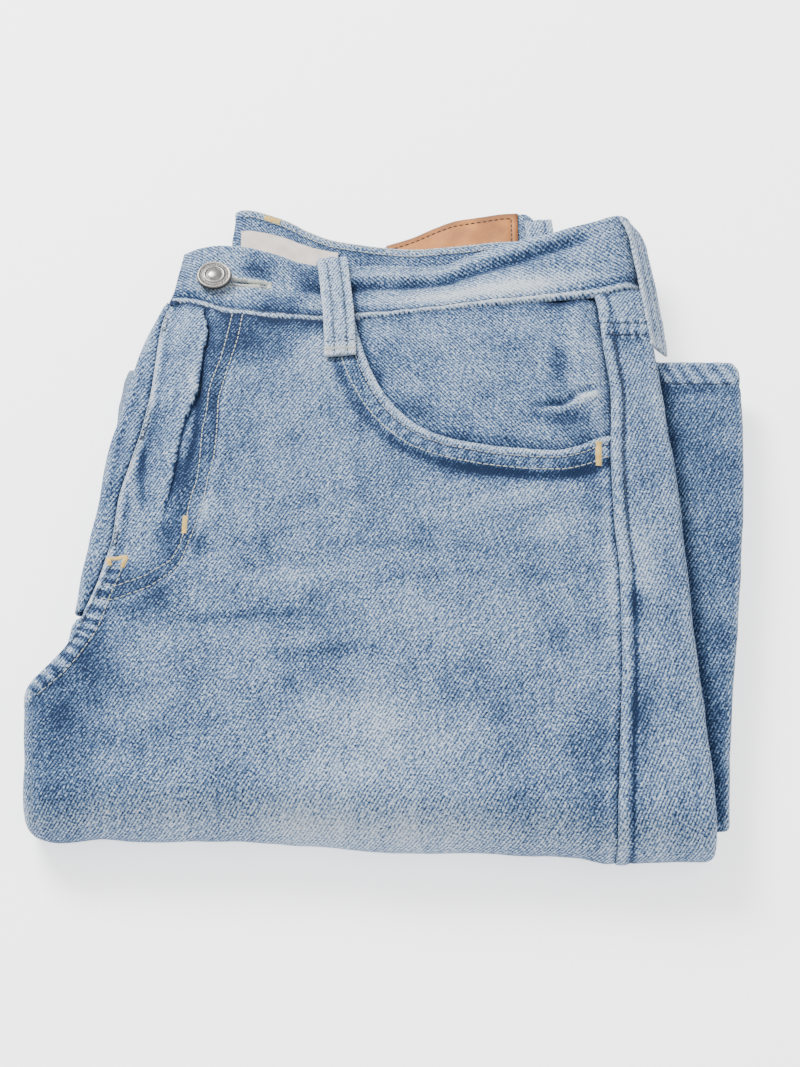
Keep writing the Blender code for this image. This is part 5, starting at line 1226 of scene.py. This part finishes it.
class Finish:
    """A material being made: one Principled shader and the nodes that feed it."""

    def __init__(self, name, roughness, metallic=0.0, sheen=0.0, specular=0.5):
        self.material = bpy.data.materials.new(name)
        self.material.use_nodes = True
        self.tree = self.material.node_tree
        self.shader = self.tree.nodes["Principled BSDF"]
        self.shader.inputs["Roughness"].default_value = roughness
        self.shader.inputs["Metallic"].default_value = metallic
        self.shader.inputs["Specular IOR Level"].default_value = specular
        self.shader.inputs["Sheen Weight"].default_value = sheen
        self.shader.inputs["Sheen Roughness"].default_value = 0.55

    def node(self, kind, settings, values, output=0):
        """A node with its settings, then the values or wires of its sockets; returns one of its outputs."""
        made = self.tree.nodes.new(kind)
        for name, value in settings.items():
            if name == "stops":
                for place_along, colour in value[len(made.color_ramp.elements):]:
                    made.color_ramp.elements.new(place_along)
                for stop, (place_along, colour) in zip(made.color_ramp.elements, value):
                    stop.position = place_along
                    stop.color = (*colour, 1.0)
            else:
                setattr(made, name, value)
        for name, value in values.items():
            if isinstance(value, Wire):
                self.tree.links.new(value.socket, made.inputs[name])
            else:
                made.inputs[name].default_value = value
        return Wire(self, made.outputs[output])

    def feed(self, name, wire):
        self.tree.links.new(wire.socket, self.shader.inputs[name])

    def noise(self, places, scale, detail=2.0, rough=0.5):
        return self.node("ShaderNodeTexNoise", {}, {"Vector": places, "Scale": scale, "Detail": detail,
                                                    "Roughness": rough})

    def stretched(self, places, x, y, turned=0.0):
        """Cloth places turned by degrees, then scaled."""
        return self.node("ShaderNodeMapping", {"vector_type": "TEXTURE"},
                         {"Vector": places, "Rotation": (0, 0, math.radians(turned)), "Scale": (1 / x, 1 / y, 1)})

    def cloth_places(self):
        return self.node("ShaderNodeUVMap", {"uv_map": "cloth"}, {})

    def wear(self):
        return self.node("ShaderNodeAttribute", {"attribute_name": "wear"}, {}, "Fac")

    def colours(self, value, stops):
        return self.node("ShaderNodeValToRGB", {"stops": stops}, {"Fac": value})

    def mixed(self, factor, first, second):
        return self.node("ShaderNodeMix", {"data_type": "RGBA", "blend_type": "MIX"},
                         {0: factor, 6: first, 7: second}, 2)

    def bump(self, height, distance, strength=1.0):
        self.feed("Normal", self.node("ShaderNodeBump", {}, {"Height": height, "Distance": distance,
                                                             "Strength": strength}))


# Colours of the dye, from deepest to most faded
INDIGO = [
    (0.0, (0.006, 0.015, 0.042)), (0.20, (0.020, 0.044, 0.100)), (0.42, (0.058, 0.106, 0.196)),
    (0.58, (0.108, 0.172, 0.284)), (0.78, (0.240, 0.312, 0.408)), (1.0, (0.480, 0.530, 0.580)),
]
TWILL_PITCH = 1.39


def denim(name, slant, ground=0.0):
    """Washed twill: diagonal ribs at a slant in degrees, slubs, and indigo that fades with wear, lightens at painted
    highlights and darkens at painted shade.
    """
    made = Finish(name, roughness=0.9, sheen=0.04, specular=0.12)
    cloth = made.cloth_places()
    wear = made.wear()
    across = made.node("ShaderNodeSeparateXYZ", {}, {"Vector": made.stretched(cloth, 1, 1, slant)}, "Y")
    wander = made.noise(cloth, 0.11, 2.0)
    shake = made.noise(cloth, 0.9, 2.0)
    rib = ((across / TWILL_PITCH + wander * 1.1 + shake * 0.42) * (2 * math.pi)).sine()
    grain = made.noise(made.stretched(cloth, 1.0, 0.5, slant), 0.95, 3.0, 0.7) - 0.5
    speck = made.noise(cloth, 1.25, 3.0, 0.75) - 0.5
    slubs = made.noise(made.stretched(cloth, 1.0, 0.07), 0.55, 3.0, 0.6) - 0.5
    blotches = made.noise(cloth, 0.055, 4.0, 0.6) - 0.5
    # Painted shade: the negative part of wear, mostly shade painted in grooves, creases and under edges, is darkened
    # further.
    tone = 0.485 + ground + wear * 1.05 + wear.clamped(-1.0, 0.0) * 0.75 + blotches * 0.26 + slubs * 0.24
    value = tone + rib * 0.24 + grain * 2.1 + speck * 2.3
    dye = made.colours(value.clamped(0.0, 1.0), INDIGO)
    ecru = ((wear - 0.26) * 1.5).clamped(0.0, 0.16)
    made.feed("Base Color", made.mixed(ecru, dye, (0.40, 0.39, 0.35, 1.0)))
    made.bump(rib * 0.5 + grain * 1.2 + speck * 1.0, 0.00022, 0.8)
    made.feed("Roughness", 0.92 - wear * 0.10)
    return made.material


def thread_finish(name, colour, worn):
    """Twisted sewing thread with a little dye rubbed into it."""
    made = Finish(name, roughness=0.75, sheen=0.2, specular=0.3)
    places = made.node("ShaderNodeTexCoord", {}, {}, "Object")
    patches = made.noise(places, 420.0, 3.0, 0.7)
    made.feed("Base Color", made.mixed(((patches - 0.42) * 3.0).clamped(0.0, 1.0), (*colour, 1.0), (*worn, 1.0)))
    made.bump(made.noise(places, 2600.0, 2.0), 0.0001, 0.6)
    return made.material


def patch_leather():
    """Tan leather, bare: fine grain, darker cut edges and a soft rub."""
    made = Finish("patch_leather_finish", roughness=0.55, specular=0.45)
    cloth = made.cloth_places()
    wear = made.wear()
    grain = made.node("ShaderNodeTexVoronoi", {"feature": "DISTANCE_TO_EDGE"}, {"Vector": cloth, "Scale": 1.5})
    clouds = made.noise(cloth, 0.12, 4.0, 0.6)
    value = 0.5 + wear * 0.6 + (clouds - 0.5) * 0.5 + (made.noise(cloth, 1.6, 3.0) - 0.5) * 0.25
    made.feed("Base Color", made.colours(value.clamped(0.0, 1.0), [
        (0.0, (0.080, 0.024, 0.005)), (0.35, (0.240, 0.078, 0.013)), (0.6, (0.430, 0.150, 0.024)),
        (1.0, (0.580, 0.250, 0.058))]))
    made.bump(grain.clamped(0.0, 0.3) + clouds * 0.6, 0.00015, 0.6)
    made.feed("Roughness", 0.50 + clouds * 0.2)
    return made.material


def label_weave():
    """Cream tape, bare, with a fine rib."""
    made = Finish("label_tape_finish", roughness=0.8, sheen=0.15, specular=0.3)
    cloth = made.cloth_places()
    parts = made.stretched(cloth, 1, 1)
    rib = (made.node("ShaderNodeSeparateXYZ", {}, {"Vector": parts}, "Y") * (2 * math.pi / 0.8)).sine()
    warp = (made.node("ShaderNodeSeparateXYZ", {}, {"Vector": parts}, "X") * (2 * math.pi / 0.6)).sine()
    stain = made.noise(cloth, 0.2, 3.0)
    value = 0.6 + made.wear() * 0.4 + rib * 0.08 + warp * 0.04 + (stain - 0.5) * 0.5
    made.feed("Base Color", made.colours(value.clamped(0.0, 1.0), [
        (0.0, (0.30, 0.25, 0.20)), (0.6, (0.56, 0.50, 0.44)), (1.0, (0.70, 0.65, 0.58))]))
    made.bump(rib + warp * 0.6, 0.00008, 0.6)
    return made.material


def button_silver():
    """Antique silver, darker in its hollows, with a pebbled ring between its rim and its centre."""
    made = Finish("button_silver", roughness=0.34, metallic=1.0)
    places = made.node("ShaderNodeTexCoord", {}, {}, "Object")
    centred = made.node("ShaderNodeVectorMath", {"operation": "SUBTRACT"}, {
        0: places, 1: ((BUTTON_X - CENTRE_X) * MM, (BUTTON_Y - CENTRE_Y) * MM, (BUTTON_Z + 9.5) * MM)})
    parts = made.node("ShaderNodeVectorMath", {"operation": "MULTIPLY"}, {0: centred, 1: (1000.0, 1000.0, 0.0)})
    radius = made.node("ShaderNodeVectorMath", {"operation": "LENGTH"}, {0: parts}, "Value")
    ring = 1 - ((radius - 6.3).size() / 0.95).clamped(0.0, 1.0)
    pebbles = made.node("ShaderNodeTexVoronoi", {}, {"Vector": parts, "Scale": 1.35, "Randomness": 0.6})
    scratches = made.noise(made.stretched(places, 1, 6, 25), 900.0, 3.0, 0.7)
    height = made.node("ShaderNodeSeparateXYZ", {}, {"Vector": centred}, "Z") * 1000.0
    hollow = ((0.1 - height) * 1.6).clamped(0.0, 1.0)
    tone = 0.62 - hollow * 0.45 - ring * (pebbles - 0.25) * 0.5 + (scratches - 0.5) * 0.35
    made.feed("Base Color", made.colours(tone.clamped(0.0, 1.0), [
        (0.0, (0.030, 0.030, 0.027)), (0.4, (0.150, 0.145, 0.135)), (1.0, (0.400, 0.390, 0.370))]))
    made.feed("Roughness", (0.28 + hollow * 0.3 + (scratches - 0.5) * 0.3).clamped(0.15, 0.8))
    made.bump(ring * (1 - pebbles) * 1.5 + scratches * 0.25, 0.0002, 0.7)
    return made.material


def floor_paint():
    """White floor, with a little emission to come nearer to the photograph's."""
    made = Finish("floor_paint", roughness=0.6, specular=0.2)
    made.shader.inputs["Emission Color"].default_value = (1.0, 1.0, 1.0, 1.0)
    made.shader.inputs["Emission Strength"].default_value = 1.4
    places = made.node("ShaderNodeTexCoord", {}, {}, "Object")
    shade = made.noise(places, 3.0, 2.0)
    made.feed("Base Color", made.colours(shade, [(0.0, (0.93, 0.93, 0.945)), (1.0, (0.95, 0.95, 0.965))]))
    return made.material


# The scene

def sit(piece, node):
    """The piece stands for its solid, which is hidden, and is attached to the root body."""
    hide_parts(node)
    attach(piece, "root")
    return piece


def dress():
    """All the pieces that stand for solids, by a short key."""
    pieces = {}
    pieces["front"] = sit(front_panel(denim("front_denim", 60)), "left_front")
    share, turn, under = panel_rows(np.linspace(0, 1, 205), 5, 2.0)
    back = side_piece("back_panel", lambda x: yoke_line(x) - SEAM_GAP, near_line, share, turn, under,
                      denim("back_denim", 66), False)
    pieces["back"] = sit(back, "left_back")
    share = np.linspace(0, 1, 16)[:, None]
    yoke = side_piece("yoke", lambda x: along(WAIST_SEAM, x) - SEAM_GAP, yoke_line, share, 0 * share, 0 * share,
                      denim("yoke_denim", 58), True)
    pieces["yoke"] = sit(yoke, "back_yoke")
    right = right_front_panel(denim("right_front_denim", 60, ground=-0.08))
    pieces["right"] = sit(right, "right_front")
    pieces["facing"] = sit(pocket_cloth(denim("facing_denim", -52)), "pocket_facing")
    pieces["leg"] = sit(leg_cloth(denim("leg_denim", 62)), "lower_leg")
    pieces["layers"] = sit(make_hidden_layers(denim("layers_denim", 60)), "folded_layers")
    pieces["band"] = sit(make_waistband(denim("band_denim", -40, ground=0.01)), "waistband")
    loops = denim("loop_denim", -30, ground=0.05)
    front_loop = make_loop("front_loop", FRONT_LOOP, (1, 0.09, 0.02), LOOP_WIDTH, loops)
    pieces["front_loop"] = sit(front_loop, "belt_loop_front")
    side_loop = make_loop("side_loop", SIDE_LOOP, (0.62, 0.1, -0.8), LOOP_WIDTH, loops)
    pieces["side_loop"] = sit(side_loop, "belt_loop_side")
    back_loop = make_loop("back_loop", BACK_LOOP, (1, 0.1, 0), LOOP_WIDTH - 1, loops, end_fold=0.0)
    pieces["back_loop"] = sit(back_loop, "belt_loop_back")
    pieces["patch"] = sit(make_patch(patch_leather()), "leather_patch")
    pieces["label"] = sit(make_label(label_weave()), "size_label")
    pieces["button"] = sit(make_button(button_silver()), "button")
    return pieces


def offset_line(line, by):
    """A line of (x, y) points moved sideways, to its right."""
    line = line_points(line, 3.0)
    way = np.gradient(line, axis=0)
    way /= np.linalg.norm(way, axis=1, keepdims=True)
    return np.stack([line[:, 0] + way[:, 1] * by, line[:, 1] - way[:, 0] * by], axis=1)


def sew(pieces):
    """The rows of stitches and the bar tacks, by colour of thread."""
    front = tree_of(pieces["front"])
    body = tree_of(pieces["front"], pieces["back"], pieces["yoke"], pieces["leg"])
    band = tree_of(pieces["band"])
    loop = tree_of(pieces["front_loop"])

    def row(tree, line, pitch=2.9, length=2.3, radius=0.24, **more):
        return stitch_points(*laid(tree, line), pitch, length, radius, **more)

    mouth = POCKET_MOUTH[:-1] + [(92.6, 19.4)]
    pale = [row(front, offset_line(mouth, 10.2)), row(front, offset_line(mouth, 3.7), radius=0.21)]
    pale += [row(front, FLY_OUTER), row(front, FLY_INNER), row(front, CROTCH_ROW_OUT, radius=0.2)]
    for from_top in (1.8, 4.8):
        grid = patch_grid(BACK_BAND_LEFT, -76.0, 92.0, from_top, from_top, 0.0, 80, 1)[0]
        pale.append(row(band, grid[:, :2], radius=0.3))
    hole = [(BUTTON_X + d, BUTTON_Y - SLIT_SLOPE * d) for d in (7.5, 14, 20, SLIT_LENGTH)]
    for by in (-1.5, 1.5):
        pale.append(row(band, offset_line(hole, by), pitch=0.62, length=0.5, radius=0.26, across=2.3))
    slit_end = BUTTON_X + SLIT_LENGTH
    pale.append(row(band, [(slit_end + 0.8, BUTTON_Y - 0.6), (slit_end + 0.9, BUTTON_Y - 5.4)],
                    pitch=0.6, length=0.5, radius=0.26, across=2.4))
    end = [(-35.2, 69.6), (-20.0, 70.6)]
    pale.append(row(loop, end, pitch=0.8, length=0.5, radius=0.24, across=2.6, lean=0.35))

    dark = [row(front, CROTCH_ROW_IN)]
    seam_line = [(x, y + 4.0) for x, y in WAIST_SEAM if -104 < x < 96]
    dark.append(row(band, seam_line))
    side = [(x + 5.6, y) for y, x in SIDE_SEAM if -60 < y < 84]
    dark.append(row(body, side[::-1]))
    dark.append(row(body, [(x, HEM_Y - 12.3) for x in (113, 125, 140, 152.5)]))
    for down in (2.8, 9.8):
        dark.append(row(body, [(x, yoke_line(x) - down) for x in (93.5, 100, 106, 112.6)]))
    for share in (0.22, -0.18):
        line = [(x + LOOP_WIDTH * share, y) for x, y, z in FRONT_LOOP[2:]]
        dark.append(row(loop, line))
    dark.append(row(loop, [(-34.6, 74.2), (-20.4, 75.2)]))
    patch = tree_of(pieces["patch"])
    patch_top = patch_grid(BACK_BAND_RIGHT, -3.4, 54.4, 4.6, 4.6, 0.0, 40, 1)[0][:, :2]
    border = [row(patch, patch_top, radius=0.28)]
    patch_end = patch_grid(BACK_BAND_RIGHT, 54.2, 54.2, 4.6, 31.0, 0.0, 1, 20)[:, 0, :2]
    border.append(row(patch, patch_end, radius=0.28))

    def tack(tree, line, width):
        return row(tree, line, pitch=0.42, length=0.5, radius=0.27, across=width)

    gold = [tack(front, FLY_TACK, 2.6), tack(front, POCKET_TACK, 3.0)]
    gold += [tack(front, line, 2.2) for line in CROTCH_TACKS]
    gold.append(tack(band, patch_grid(BACK_BAND_LEFT, -66.0, -58.0, 3.6, 3.6, 0.0, 9, 1)[0][:, :2], 3.4))

    threads = [
        ("pale_stitches", pale, "pale_thread", (0.50, 0.50, 0.42), (0.27, 0.33, 0.36)),
        ("navy_stitches", dark, "navy_thread", (0.012, 0.018, 0.030), (0.035, 0.050, 0.070)),
        ("gold_tacks", gold, "gold_thread", (0.62, 0.40, 0.09), (0.50, 0.42, 0.20)),
        ("patch_stitches", border, "brown_thread", (0.030, 0.016, 0.009), (0.06, 0.033, 0.018)),
    ]
    made = [thread_piece(name, rows, thread_finish(thread, colour, worn))
            for name, rows, thread, colour, worn in threads]
    for piece in made:
        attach(piece, "root")
    return made


def stage_and_camera():
    """The floor, the light and the photograph's camera."""
    floor = bpy.data.meshes.new("floor")
    floor.from_pydata([(-4, -4, 0), (4, -4, 0), (4, 5, 0), (-4, 5, 0)], [], [(0, 1, 2, 3)])
    floor.materials.append(floor_paint())
    ground = bpy.data.objects.new("floor", floor)
    bpy.context.scene.collection.objects.link(ground)
    ground.location.z = -0.0004

    world = bpy.context.scene.world or bpy.data.worlds.new("studio")
    bpy.context.scene.world = world
    world.use_nodes = True
    background = world.node_tree.nodes["Background"]
    background.inputs["Color"].default_value = (0.96, 0.97, 1.0, 1.0)
    background.inputs["Strength"].default_value = 1.15

    def panel(name, place_at, aim, size, power):
        light = bpy.data.lights.new(name, "AREA")
        light.shape = "SQUARE"
        light.size = size
        light.energy = power
        made = bpy.data.objects.new(name, light)
        made.location = place_at
        made.rotation_euler = (Vector(aim) - Vector(place_at)).to_track_quat("-Z", "Y").to_euler()
        bpy.context.scene.collection.objects.link(made)

    panel("key", (-0.85, 1.15, 1.35), (0, 0, 0), 0.9, 92.0)
    panel("fill", (0.9, -0.6, 1.5), (0, 0, 0), 1.6, 9.0)

    lens = bpy.data.cameras.new("camera")
    lens.sensor_fit = "VERTICAL"
    lens.sensor_height = SENSOR
    lens.sensor_width = SENSOR
    lens.lens = FOCAL_PIXELS / PHOTO_HEIGHT * SENSOR
    eye = bpy.data.objects.new("camera", lens)
    tilt = math.radians(CAMERA_TILT)
    target = Vector(((0.0 - CENTRE_X) * MM, (-22.75 - CENTRE_Y) * MM, 0.020))
    eye.location = target + Vector((0, -math.cos(tilt), math.sin(tilt))) * CAMERA_DISTANCE
    eye.rotation_euler = (math.radians(90) - tilt, 0, 0)
    bpy.context.scene.collection.objects.link(eye)
    bpy.context.scene.camera = eye


jeans = dress()
sew(jeans)
stage_and_camera()
